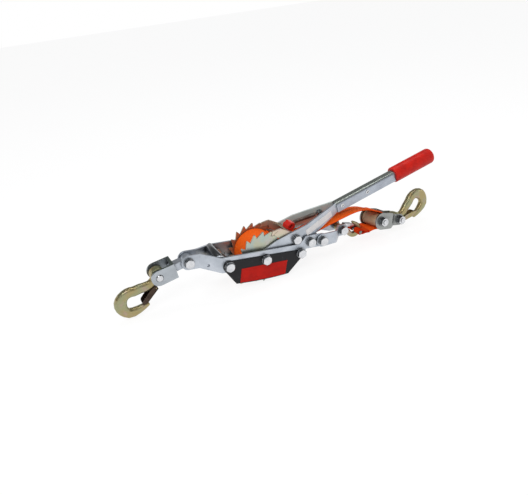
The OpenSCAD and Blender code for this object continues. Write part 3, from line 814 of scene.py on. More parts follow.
@dataclass(frozen=True)
class Webbing(Finish):
    """Woven polyester strap, read from the strap's own map: metres along it, and across it."""

    colour: Colour = (1.0, 0.155, 0.012)
    # deep: colour of the painted shade in the weave's low places, and of the darker selvedges
    deep: Colour = (0.80, 0.075, 0.006)
    worn: Colour = (1.0, 0.21, 0.03)
    width: float = 0.045
    warp: float = 0.00115
    weft: float = 0.0014
    warps_in_zigzag: int = 6
    zigzag: float = 1.6
    yarn_share: float = 0.6
    pick_share: float = 0.4
    edge: Span = (0.0022, 0.0006)
    rib: Span = (0.0062, 0.0050)
    fuzz: Grain = Grain(160.0, 5.0, 0.65)
    raised: Span = (-0.2, 0.7)
    fuzzy: Span = (0.52, 0.74)
    fuzz_share: float = 0.35
    fuzz_rough: float = 0.2
    edge_share: float = 0.55
    rib_height: float = 0.4
    roughness: float = 0.62
    shine: float = 0.08
    weave_relief: Relief = Relief(0.55, 0.00025)
    fuzz_relief: Relief = Relief(0.25, 0.0003)

    def near_edge(self, across: Value, reach: Span) -> Value:
        """Rises from 0 to 1 between two distances from the strap's edges, in metres."""
        half = self.width / 2
        return (across - half).size().ramp(half - reach[0], half - reach[1])

    def weave(self, along: Value, across: Value) -> Value:
        """Crosses the warp yarns with weft picks that run in a zigzag.

        Args:
            along: metres along the strap.
            across: metres across it.

        Returns:
            The height of the weave.
        """
        turn = 2 * math.pi
        yarn = (across * (turn / self.warp)).sine()
        zigzag = (across * (turn / (self.warps_in_zigzag * self.warp))).sine() * self.zigzag
        pick = (along * (turn / self.weft) + zigzag).sine()
        return yarn.size() * self.yarn_share + (pick * yarn) * self.pick_share

    def paint(self, p: Paint) -> None:
        """Weaves the strap, with painted shade in the weave's low places, its selvedges and worn fuzz.

        Args:
            p: the material's nodes.
        """
        uv = p.node("ShaderNodeUVMap", {"uv_map": "weave"})
        along, across = uv.part("X"), uv.part("Y")
        weave = self.weave(along, across)
        edge, rib = self.near_edge(across, self.edge), self.near_edge(across, self.rib)
        fuzz = p.noise(self.fuzz)
        # painted shade: the weave's low places take the deep colour
        base = p.mix(weave.ramp(*self.raised), self.deep, self.colour)
        base = p.mix(fuzz.ramp(*self.fuzzy) * self.fuzz_share, base, self.worn)
        height = weave + (rib - edge) * self.rib_height
        p.set(
            Base_Color=p.mix(edge * self.edge_share, base, self.deep),
            Roughness=self.roughness + fuzz * self.fuzz_rough,
            Specular_IOR_Level=self.shine,
            Normal=p.bump(height, self.weave_relief, p.bump(fuzz, self.fuzz_relief)),
        )


class Look(Enum):
    """Every finish on the winch; each one's material has its name in small letters."""

    PLATED_ZINC = PlatedZinc()
    # the colour given last to each of these three is painted shade on its upper faces
    CHANNEL_ZINC = PlatedZinc((0.46, 0.50, 0.56), (0.36, 0.39, 0.45), top_shade=(0.30, 0.33, 0.305))
    CLEVIS_ZINC = PlatedZinc((0.50, 0.54, 0.58), (0.38, 0.41, 0.44), top_shade=(0.13, 0.16, 0.145))
    BLOCK_ZINC = PlatedZinc((0.37, 0.385, 0.375), (0.27, 0.28, 0.27), top_shade=(0.12, 0.125, 0.085))
    # painted light: a lighter, greener copy of the plated zinc with little mirror shine, coloured as the
    # far arm's inner face looks under the lamps
    FAR_ZINC = PlatedZinc((0.64, 0.72, 0.69), (0.54, 0.61, 0.58), gap=0.0015, metallic=0.15)
    BRIGHT_FASTENER = Fastener()
    YELLOW_CHROMATE = YellowChromate()
    WHEEL_CHROMATE = PunchedChromate((0.52, 0.53, 0.40), (0.45, 0.53, 0.48), (0.54, 0.51, 0.48))
    # painted reflection and shade: the far wheel's chromate is made darker and redder, as the orange
    # strap's reflection and the shade between the wheels colour it
    FAR_WHEEL_CHROMATE = PunchedChromate(
        (0.50, 0.34, 0.22), (0.44, 0.36, 0.24), (0.50, 0.27, 0.20), gap=0.012
    )
    PAWL_CHROMATE = PunchedChromate((0.66, 0.56, 0.44), (0.60, 0.58, 0.44), (0.68, 0.52, 0.50), gap=0.008)
    POWDER_BLACK = PowderCoat()
    PANEL_RED = Moulded(
        (0.56, 0.012, 0.006), (0.44, 0.010, 0.006), roughness=0.4, shine=0.15, cells=1500.0, depth=0.00002
    )
    STRIP_WHITE = Moulded(
        (0.88, 0.86, 0.85), (0.80, 0.77, 0.77), roughness=0.3, cells=1500.0, depth=0.00002
    )
    GRIP_RED = Moulded(
        (0.66, 0.014, 0.006), (0.50, 0.010, 0.006), roughness=0.32, shine=0.22, cells=900.0, depth=0.00006
    )
    TAB_RED = Moulded(
        (0.72, 0.022, 0.012), (0.55, 0.016, 0.010), roughness=0.22, cells=900.0, depth=0.00004
    )
    ROLLER_TAN = Moulded(
        (0.52, 0.42, 0.27), (0.36, 0.28, 0.17), roughness=0.4, cells=500.0, depth=0.0001
    )
    STITCH_THREAD = Moulded(
        (0.90, 0.28, 0.06), (0.70, 0.16, 0.03), roughness=0.6, shine=0.15, cells=3000.0
    )
    SPRING_STEEL = Steel((0.22, 0.23, 0.21))
    DARK_LATCH = Steel((0.075, 0.050, 0.038), roughness=0.28)
    ORANGE_WEAVE = Webbing()
    # painted shade: a darker copy of the webbing for the sewn end, which lies in shade
    ORANGE_WEAVE_END = Webbing((0.86, 0.060, 0.004), (0.56, 0.022, 0.002), (0.90, 0.11, 0.01))


class Wardrobe:
    """All finishes, each made once."""

    def __init__(self) -> None:
        """Builds every finish."""
        self.materials = {look: look.value.make(look.name.lower()) for look in Look}

    def wear(self, obj: Object, finish: Look) -> Object:
        """Puts one finish on all of an object.

        Args:
            obj: a mesh object.
            finish: the finish.

        Returns:
            The same object.
        """
        if not obj.material_slots:
            obj.data.materials.append(self.materials[finish])
        for slot in obj.material_slots:
            slot.material = self.materials[finish]
        return obj


# ---------------------------------------------------------------- CAD nodes


@dataclass(frozen=True)
class Dressed:
    """A rigid node, its finish and how its edges are broken.

    Doubled vertices are welded and faces that are level with each other are joined first. Then
    edges sharper than an angle are broken. Lengths are in millimetres and angles in degrees.
    """

    node: str
    finish: Look
    edge: float = 0.35
    segments: int = 2
    sharp: float = 38.0
    level: float = 0.6
    welded: float = 0.002

    def soften(self) -> Object:
        """Breaks the node's sharp edges with live modifiers and leaves its mesh alone.

        Returns:
            The node's object.
        """
        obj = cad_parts[self.node]
        weld = obj.modifiers.new("weld", "WELD")
        weld.merge_threshold = self.welded * MM
        flat = obj.modifiers.new("flat", "DECIMATE")
        flat.decimate_type = "DISSOLVE"
        flat.angle_limit = math.radians(self.level)
        edge = obj.modifiers.new("edge", "BEVEL")
        edge.width = self.edge * MM
        edge.segments = self.segments
        edge.limit_method = "ANGLE"
        edge.angle_limit = math.radians(self.sharp)
        edge.use_clamp_overlap = True
        edge.harden_normals = True
        return obj


def alike(finish: Look, edge: float, *nodes: str) -> tuple[Dressed, ...]:
    """Dresses several nodes in one finish with one broken edge."""
    return tuple(Dressed(node, finish, edge) for node in nodes)


@dataclass
class SubAssembly:
    """Common work of the winch's sub-assemblies."""

    title: ClassVar[str] = ""
    rigid: ClassVar[tuple[Dressed, ...]] = ()
    wardrobe: Wardrobe
    made: list[Object] = field(default_factory=list)

    def dress(self) -> None:
        """Gives the sub-assembly's rigid nodes their finishes and broken edges."""
        for item in self.rigid:
            self.wardrobe.wear(item.soften(), item.finish)
            LOG.info("%s: node %s wears %s", self.title, item.node, item.finish.name.lower())

    def add(self, obj: Object, finish: Look, slot: Slot, *nodes: str) -> Object:
        """Gives a new piece its finish, and lets it stand for CAD nodes.

        Args:
            obj: the new piece.
            finish: its finish.
            slot: not used.
            nodes: the CAD nodes that it replaces.

        Returns:
            The same object.
        """
        self.wardrobe.wear(obj, finish)
        if nodes:
            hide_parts(*nodes)
        self.made.append(obj)
        LOG.info("%s: piece %s, %d faces", self.title, obj.name, len(obj.data.polygons))
        return obj

    def forge(self, name: str, forging: Forging) -> None:
        """Makes a hook that stands for its node and rides on the body of that name."""
        hook = self.add(forging.make(name), Look.YELLOW_CHROMATE, Slot.YELLOW, forging.node)
        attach(hook, forging.node)

    def build(self) -> None:
        """Makes the sub-assembly's new pieces; a sub-assembly without any does nothing."""


@dataclass(frozen=True)
class Forging:
    """A hook's drop forging, whose joins are rounded by a fine remesh."""

    node: str
    voxel: float = 0.7
    passes: int = 6
    relaxed: float = 0.5

    def make(self, name: str) -> Object:
        """Rounds a copy of the node.

        Args:
            name: name of the piece.

        Returns:
            The new object.
        """
        obj = copy_of_node(name, self.node)
        remesh = obj.modifiers.new("remesh", "REMESH")
        remesh.mode = "VOXEL"
        remesh.voxel_size = self.voxel * MM
        relax = obj.modifiers.new("relax", "SMOOTH")
        relax.factor = self.relaxed
        relax.iterations = self.passes
        alone(apply_all(obj))
        bpy.ops.object.shade_smooth()
        return obj


@dataclass(frozen=True)
class Winding:
    """A torsion spring wound round the winch's cross direction, in millimetres."""

    radius: float
    wire: float
    turns: int
    length: float
    legs: float
    steps: int = 28
    rise: float = 0.3
    sides: int = 10
    leg_steps: int = 4

    def wind(self, name: str, centre: Point) -> Object:
        """Winds the spring with its two straight legs.

        Args:
            name: name of the piece.
            centre: middle of the coil in the drawing frame.

        Returns:
            The new object.
        """
        x, y, z = centre
        coil = []
        for i in range(self.turns * self.steps + 1):
            a = 2 * math.pi * i / self.steps
            across = y + self.length * (i / (self.turns * self.steps) - 0.5)
            coil.append(Vector((x + self.radius * math.cos(a), across, z + self.radius * math.sin(a))))
        legs = [self.legs * k / self.leg_steps for k in range(1, self.leg_steps + 1)]
        tail = [coil[-1] + Vector((0.0, self.rise, leg)) for leg in legs]
        head = [coil[0] - Vector((0.0, self.rise, leg)) for leg in reversed(legs)]
        return tube(name, head + coil + tail, self.wire, self.sides)


def tube(name: str, path: list[Vector], radius: float, sides: int) -> Object:
    """Makes a round wire along a path.

    Args:
        name: name of the piece.
        path: points in the drawing frame, in millimetres.
        radius: the wire's radius in millimetres.
        sides: sides of its section.

    Returns:
        The new object.
    """
    points: list[Vector] = []
    faces: list[tuple[int, ...]] = []
    normal = Vector((0.0, 1.0, 0.0))
    for i, p in enumerate(path):
        d = (path[min(i + 1, len(path) - 1)] - path[max(i - 1, 0)]).normalized()
        side = (normal - d * normal.dot(d)).normalized()
        normal = side
        other = d.cross(side)
        for j in range(sides):
            a = 2 * math.pi * j / sides
            points.append(LAY.put(p + side * (radius * math.cos(a)) + other * (radius * math.sin(a))))
    for i in range(len(path) - 1):
        for j in range(sides):
            k = (j + 1) % sides
            faces.append((i * sides + j, (i + 1) * sides + j, (i + 1) * sides + k, i * sides + k))
    faces.append(tuple(range(sides)))
    faces.append(tuple((len(path) - 1) * sides + j for j in range(sides))[::-1])
    obj = mesh_piece(name, points, faces)
    outward(obj)
    return smooth(obj, angle=50.0)


# ---------------------------------------------------------------- webbing


@dataclass
class Station:
    """A place along a strap: its middle and the direction of its width."""

    centre: Vector
    level: Vector


def flowing(stations: list[Station], step: float) -> list[Station]:
    """Runs a smooth curve through a strap's stations.

    Args:
        stations: the given places.
        step: distance between the new ones, in millimetres.

    Returns:
        Evenly spaced stations, first and last as given.
    """
    fine: list[Station] = []
    n = len(stations)
    for i in range(n - 1):
        a, b = stations[i], stations[i + 1]
        before = stations[max(i - 1, 0)].centre
        after = stations[min(i + 2, n - 1)].centre
        chord = (b.centre - a.centre).length
        m0 = (b.centre - before).normalized() * chord if i else (b.centre - a.centre)
        m1 = (after - a.centre).normalized() * chord if i < n - 2 else (b.centre - a.centre)
        parts = max(2, math.ceil(chord / step))
        for k in range(parts + (i == n - 2)):
            t = k / parts
            h0, h1 = 2 * t**3 - 3 * t**2 + 1, t**3 - 2 * t**2 + t
            h2, h3 = -2 * t**3 + 3 * t**2, t**3 - t**2
            centre = a.centre * h0 + m0 * h1 + b.centre * h2 + m1 * h3
            fine.append(Station(centre, a.level.lerp(b.level, t).normalized()))
    return fine


@dataclass
class Ribbon:
    """A length of webbing along stations, with a hole where a hook passes through it."""

    name: str
    stations: list[Station]
    width: float = 45.0
    thick: float = 2.2
    columns: int = 18
    selvedge: float = 0.32
    from_along: float = 0.0
    hole: Callable[[Vector, float], bool] | None = None
    sharp: float = 60.0

    def length(self) -> float:
        """Length along the middle, in metres."""
        pairs = zip(self.stations, self.stations[1:])
        return sum((b.centre - a.centre).length for a, b in pairs) * MM

    def surface(self) -> Object:
        """Lays the flat middle surface with its weave map.

        Returns:
            The new object, an open sheet.
        """
        rows = len(self.stations)
        points, faces, marks = [], [], []
        run = self.from_along
        for i, s in enumerate(self.stations):
            if i:
                run += (s.centre - self.stations[i - 1].centre).length * MM
            for j in range(self.columns + 1):
                y = self.width * (j / self.columns - 0.5)
                points.append(LAY.put(s.centre + s.level * y))
                marks.append((run, (y + self.width / 2) * MM))
        w = self.columns + 1
        for i in range(rows - 1):
            middle = (self.stations[i].centre + self.stations[i + 1].centre) / 2
            for j in range(self.columns):
                y = self.width * ((j + 0.5) / self.columns - 0.5)
                if self.hole is not None and self.hole(middle, y):
                    continue
                faces.append((i * w + j, i * w + j + 1, (i + 1) * w + j + 1, (i + 1) * w + j))
        obj = mesh_piece(self.name, points, faces)
        weave_map(obj, lambda loop: marks[loop.vertex_index])
        choose_all(obj)
        bpy.ops.mesh.delete_loose(use_verts=True, use_edges=True, use_faces=False)
        leave_edit()
        return obj

    def make(self) -> Object:
        """Gives the sheet its thickness and rounded selvedges.

        Returns:
            The finished strap.
        """
        obj = self.surface()
        thick = obj.modifiers.new("thick", "SOLIDIFY")
        thick.thickness = self.thick * MM
        thick.offset = 0.0
        thick.use_even_offset = True
        round_off = obj.modifiers.new("selvedge", "BEVEL")
        round_off.width = self.selvedge * self.thick * MM
        round_off.segments = 2
        round_off.limit_method = "ANGLE"
        round_off.angle_limit = math.radians(self.sharp)
        apply_all(obj)
        return smooth(obj, angle=40.0)


LEVEL = Vector((0.0, 1.0, 0.0))


def level_run(points: Iterable[tuple[float, ...]]) -> list[Station]:
    """Makes stations of the strap from points along and above the frame.

    Args:
        points: place along, height and, where its far edge hangs lower, the roll in degrees.

    Returns:
        The stations, level where no roll is given.
    """
    made = []
    for x, z, *roll in points:
        a = math.radians(roll[0]) if roll else 0.0
        made.append(Station(Vector((x, 0.0, z)), Vector((0.0, math.cos(a), -math.sin(a)))))
    return made


# ---------------------------------------------------------------- sub-assemblies


@dataclass
class SideFrame(SubAssembly):
    """Side plates, guards, bolts and spacers."""

    title: ClassVar[str] = "frame"
    rigid: ClassVar[tuple[Dressed, ...]] = (
        *alike(Look.PLATED_ZINC, 0.5, "side_plate_near", "side_plate_far"),
        *alike(Look.POWDER_BLACK, 0.5, "guard_near", "guard_far"),
        Dressed("guard_panel", Look.PANEL_RED, 0.15),
        *alike(Look.BRIGHT_FASTENER, 0.3, "nose_bolt", "guard_bolt_left", "drum_axle_bolt"),
        *alike(Look.BRIGHT_FASTENER, 0.3, "guard_bolt_right", "neck_bolt"),
        Dressed("nose_spacer", Look.BRIGHT_FASTENER, 0.4),
        Dressed("right_spacer", Look.PLATED_ZINC, 0.3),
        Dressed("holding_pawl", Look.PAWL_CHROMATE, 0.3),
    )
    holding_axle: Point = (-77.5, 0.0, 0.0)
    holding_spring: Winding = Winding(radius=7.9, wire=0.75, turns=6, length=10.5, legs=9.0)

    def build(self) -> None:
        """Winds the holding pawl's spring."""
        spring = self.holding_spring.wind("pawl_return_spring", self.holding_axle)
        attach(self.add(spring, Look.SPRING_STEEL, Slot.SPRING, "holding_pawl_spring"), "frame")


@dataclass
class RatchetDrum(SubAssembly):
    """Toothed wheels, drum tube and the strap wound on it."""

    title: ClassVar[str] = "drum"
    rigid: ClassVar[tuple[Dressed, ...]] = (
        Dressed("ratchet_near", Look.WHEEL_CHROMATE, 0.3),
        Dressed("ratchet_far", Look.FAR_WHEEL_CHROMATE, 0.3),
        Dressed("drum_tube", Look.PLATED_ZINC, 0.3),
    )
    inner: float = 14.15
    outer: float = 41.95
    layers: int = 12
    width: float = 45.0
    gap: float = 0.12
    inset: float = 0.32
    edge: float = 0.5
    wander: float = 0.28
    wander_step: float = 2.4
    wander_start: float = 0.7
    bulge: float = 0.05
    bulges: int = 3
    steps: int = 96

    def wound_length(self) -> float:
        """Length of the strap wound on the drum, in metres."""
        return self.layers * math.pi * (self.inner + self.outer) * MM

    def section(self, index: int) -> list[tuple[float, float]]:
        """Outline of one turn as radius and place across, with rounded edges.

        Args:
            index: turn from the tube outwards.

        Returns:
            Its corners in order.
        """
        pitch = (self.outer - self.inner) / self.layers
        low = self.inner + index * pitch
        high = low + pitch - self.gap
        half, e = self.width / 2 - self.inset, self.edge
        lower = [(low, e - half), (low + e, -half), (high - e, -half), (high, e - half)]
        return lower + [(r, -y) for r, y in reversed(lower)]

    def ring(self, index: int) -> Object:
        """Makes one turn of the wound strap as a closed band.

        Args:
            index: turn from the tube outwards.

        Returns:
            The new object.
        """
        section = self.section(index)
        drift = self.wander * math.sin(self.wander_step * index + self.wander_start)
        bulge = 0.0 if index == self.layers - 1 else self.bulge
        steps, n = self.steps, len(section)
        around = section[2][0] + self.edge
        points, faces, marks = [], [], []
        for i in range(steps):
            a = 2 * math.pi * i / steps
            for r, y in section:
                rr = r + bulge * math.sin(self.bulges * a + index)
                points.append(LAY.put((rr * math.cos(a), y + drift, rr * math.sin(a))))
            u0, u1 = around * MM * a, around * MM * (a + 2 * math.pi / steps)
            for j in range(n):
                k, m = (j + 1) % n, (i + 1) % steps
                faces.append((i * n + j, m * n + j, m * n + k, i * n + k))
                v0, v1 = ((section[c][1] + self.width / 2) * MM for c in (j, k))
                marks += [(u0, v0), (u1, v0), (u1, v1), (u0, v1)]
        obj = mesh_piece(f"wound_turn_{index + 1}", points, faces)
        return weave_map(obj, lambda loop: marks[loop.index])

    def build(self) -> None:
        """Winds the strap as a stack of closed turns, joined as one piece."""
        coil = joined([self.ring(i) for i in range(self.layers)], "strap_coil")
        choose_all(coil)
        bpy.ops.mesh.normals_make_consistent(inside=False)
        leave_edit()
        smooth(coil, angle=30.0)
        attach(self.add(coil, Look.ORANGE_WEAVE, Slot.WEBBING, "strap_wound"), "drum")
        flat = (self.width * MM, round(self.wound_length(), 3))
        LOG.info("strap: %s holds %.3f m", coil.name, flat[1])


@dataclass(frozen=True)
class Eye:
    """A wire's end bent round a bolt: its middle in the handle's frame, radius and two angles."""

    centre: Point
    radius: float
    start: float
    end: float
    steps: int = 24


@dataclass
class Handle(SubAssembly):
    """Yoke arms, channel, grip and their fasteners."""

    title: ClassVar[str] = "handle"
    rigid: ClassVar[tuple[Dressed, ...]] = (
        Dressed("yoke_arm_near", Look.PLATED_ZINC, 0.45),
        Dressed("yoke_arm_far", Look.FAR_ZINC, 0.45),
        Dressed("handle_channel", Look.CHANNEL_ZINC, 0.3),
        Dressed("handle_grip", Look.GRIP_RED, 0.4),
        Dressed("lap_rivets", Look.BRIGHT_FASTENER, 0.2),
        *alike(Look.BRIGHT_FASTENER, 0.3, "pawl_bolt", "stop_bolt"),
    )
    angle: float = 20.0
    pivot_eye: Eye = Eye((74.8, 21.4, 3.3), 5.95, 320.0, 0.0)
    stop_eye: Eye = Eye((155.41, 5.0, 5.2), 5.35, 180.0, -140.0)
    spring_from: Point = (101.0, 20.9, 8.5)
    spring_to: Point = (146.0, 9.0, 8.5)
    turns: int = 22
    turn_steps: int = 20
    coil_radius: float = 3.6
    wire: float = 0.75
    wire_sides: int = 8
    strip_along: Span = (99.0, 172.0)
    strip_over: Span = (-1.6, 11.4)
    strip_cells: tuple[int, int] = (40, 4)
    strip_thick: float = 0.4
    strip_gap: float = 0.03
    strip_corner: float = 1.4
    corner_segments: int = 4
    arm_out: float = 30.8
    bend_at: float = 105.0
    bend_length: float = 4.0
    bend_round: float = 0.067
    lean: float = 15.38

    def at(self, u: float, y: float, w: float) -> Vector:
        """Places a point along, across and over the handle's line in the drawing frame."""
        return Matrix.Rotation(math.radians(-self.angle), 3, "Y") @ Vector((u, y, w))

    def bent(self, eye: Eye) -> list[Vector]:
        """Bends a spring's end round a bolt.

        Args:
            eye: the bend.

        Returns:
            Points along the wire in the drawing frame.
        """
        u, y, w = eye.centre
        path = []
        for i in range(eye.steps + 1):
            a = math.radians(eye.start + (eye.end - eye.start) * i / eye.steps)
            path.append(self.at(u + eye.radius * math.cos(a), y, w + eye.radius * math.sin(a)))
        return path

    def side(self, u: float) -> float:
        """Place of the near arm's outer face across the winch.

        Args:
            u: place along the handle's line.

        Returns:
            The place across, which leans in past the arm's rounded bend.
        """
        past = max(0.0, u - self.bend_at)
        rounded = self.bend_round * min(1.0, past / self.bend_length)
        return past * math.tan(math.radians(self.lean)) - self.arm_out - rounded

    def strip(self) -> Object:
        """Cuts the bare white strip, lays it along the near arm's bend and rounds its corners.

        Returns:
            The strip, on the arm's outer face.
        """
        (u0, u1), (w0, w1) = self.strip_along, self.strip_over
        columns, rows = self.strip_cells
        deselect()
        bpy.ops.mesh.primitive_grid_add(
            x_subdivisions=columns,
            y_subdivisions=rows,
            size=1.0,
            location=((u0 + u1) / 2, 0.0, (w0 + w1) / 2),
            rotation=(math.pi / 2, 0.0, 0.0),
        )
        strip = named(bpy.context.active_object, "bare_arm_strip")
        strip.scale = (u1 - u0, w1 - w0, 1.0)
        bpy.ops.object.transform_apply(location=True, rotation=True, scale=True)
        for vertex in strip.data.vertices:
            vertex.co.y = self.side(vertex.co.x) - self.strip_gap
        choose_points(strip, self.is_corner)
        bpy.ops.mesh.bevel(offset=self.strip_corner, segments=self.corner_segments, affect="VERTICES")
        leave_edit()
        strip.data.transform(LAY.matrix() @ Matrix.Rotation(math.radians(-self.angle), 4, "Y"))
        thick = strip.modifiers.new("thick", "SOLIDIFY")
        thick.thickness = self.strip_thick * MM
        thick.offset = 1.0
        return smooth(apply_all(strip), angle=40.0)

    def is_corner(self, place: Vector) -> bool:
        """Says whether a place along and over the handle's line is a corner of the strip."""
        ends = zip((place.x, place.z), (self.strip_along, self.strip_over))
        return all(min(at - low, high - at) < NEAR for at, (low, high) in ends)

    def spring(self) -> Object:
        """Winds the drive pawl's return spring from the pawl's bolt to the stop bolt.

        Returns:
            The spring, with an eye round each bolt.
        """
        start, end = Vector(self.spring_from), Vector(self.spring_to)
        up = Vector((0.0, 0.0, 1.0))
        across = up.cross((end - start).normalized())
        coil = []
        for i in range(self.turns * self.turn_steps + 1):
            a = 2 * math.pi * i / self.turn_steps
            middle = start.lerp(end, i / (self.turns * self.turn_steps))
            coil.append(self.at(*(middle + (up * math.cos(a) + across * math.sin(a)) * self.coil_radius)))
        path = self.bent(self.pivot_eye) + coil + self.bent(self.stop_eye)
        return tube("pawl_return_coil", path, self.wire, self.wire_sides)

    def build(self) -> None:
        """Lays the white strip and winds the drive pawl's return spring."""
        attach(self.add(self.strip(), Look.STRIP_WHITE, Slot.STRIP, "arm_strip"), "handle")
        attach(self.add(self.spring(), Look.SPRING_STEEL, Slot.SPRING, "drive_pawl_spring"), "handle")


@dataclass
class DrivePawl(SubAssembly):
    """The pawl that turns the wheels, and its thumb tab."""

    title: ClassVar[str] = "drive pawl"
    rigid: ClassVar[tuple[Dressed, ...]] = (
        Dressed("drive_pawl", Look.PAWL_CHROMATE, 0.35),
        Dressed("pawl_tab", Look.TAB_RED, 0.6),
    )


@dataclass
class FrontChain(SubAssembly):
    """Swivel eye, clevis, hook and latch at the nose."""

    title: ClassVar[str] = "front chain"
    rigid: ClassVar[tuple[Dressed, ...]] = (
        Dressed("swivel_eye", Look.PLATED_ZINC, 0.5),
        Dressed("clevis", Look.CLEVIS_ZINC, 0.7, 3),
        Dressed("front_hook_pin", Look.BRIGHT_FASTENER, 0.3),
        Dressed("front_latch", Look.DARK_LATCH, 0.2),
    )
    hook: Forging = Forging("front_hook")

    def build(self) -> None:
        """Forges the front hook."""
        self.forge("front_hook_forging", self.hook)


@dataclass
class RearLink(SubAssembly):
    """Link plates behind the frame and the small hook that holds the strap's end."""

    title: ClassVar[str] = "rear link"
    rigid: ClassVar[tuple[Dressed, ...]] = (
        *alike(Look.PLATED_ZINC, 0.5, "link_near", "link_far"),
        *alike(Look.BRIGHT_FASTENER, 0.3, "link_bolt", "anchor_bolt"),
        Dressed("anchor_latch", Look.BRIGHT_FASTENER, 0.15),
        Dressed("strap_pin", Look.SPRING_STEEL, 0.3),
    )
    hook: Forging = Forging("anchor_hook", 0.45, 5)

    def build(self) -> None:
        """Forges the small hook."""
        self.forge("strap_end_hook_forging", self.hook)


@dataclass
class PulleyBlock(SubAssembly):
    """Cheeks, roller, bolts and the rear hook."""

    title: ClassVar[str] = "pulley block"
    rigid: ClassVar[tuple[Dressed, ...]] = (
        *alike(Look.BLOCK_ZINC, 0.5, "block_cheek_near", "block_cheek_far"),
        *alike(Look.BRIGHT_FASTENER, 0.3, "pulley_bolt", "rear_hook_bolt"),
        Dressed("strap_pulley", Look.ROLLER_TAN, 0.4),
        Dressed("rear_latch", Look.YELLOW_CHROMATE, 0.2),
    )
    hook: Forging = Forging("rear_hook")

    def build(self) -> None:
        """Forges the rear hook."""
        self.forge("rear_hook_forging", self.hook)


@dataclass
class BlockPlace:
    """Place and turn of the pulley block in the drawing frame."""

    x: float = 281.5
    z: float = 28.5
    turn: Point = (-7.0, 7.0, 3.5)
    wrap_radius: float = 16.4

    def direction(self, v: Sequence[float]) -> Vector:
        """Turns a direction of the block into the drawing frame.

        Args:
            v: the direction.

        Returns:
            The turned direction.
        """
        m = Matrix.Identity(3)
        for axis, angle in zip("XYZ", self.turn):
            m = Matrix.Rotation(math.radians(angle), 3, axis) @ m
        return m @ Vector(v)

    def point(self, v: Sequence[float]) -> Vector:
        """Places a point of the block in the drawing frame."""
        return Vector((self.x, 0.0, self.z)) + self.direction(v)

    def level(self) -> Vector:
        """Direction of the pulley's axis."""
        return self.direction(LEVEL)

    def on_pulley(self, angle: float) -> Station:
        """Where the strap lies on the pulley at an angle in degrees."""
        a, r = math.radians(angle), self.wrap_radius
        return Station(self.point((r * math.cos(a), 0.0, r * math.sin(a))), self.level())

    def round_pulley(self, start: float, end: float, steps: int) -> list[Station]:
        """Runs the strap round the pulley between two angles in degrees, in a number of steps."""
        return [self.on_pulley(start + (end - start) * i / steps) for i in range(steps + 1)]


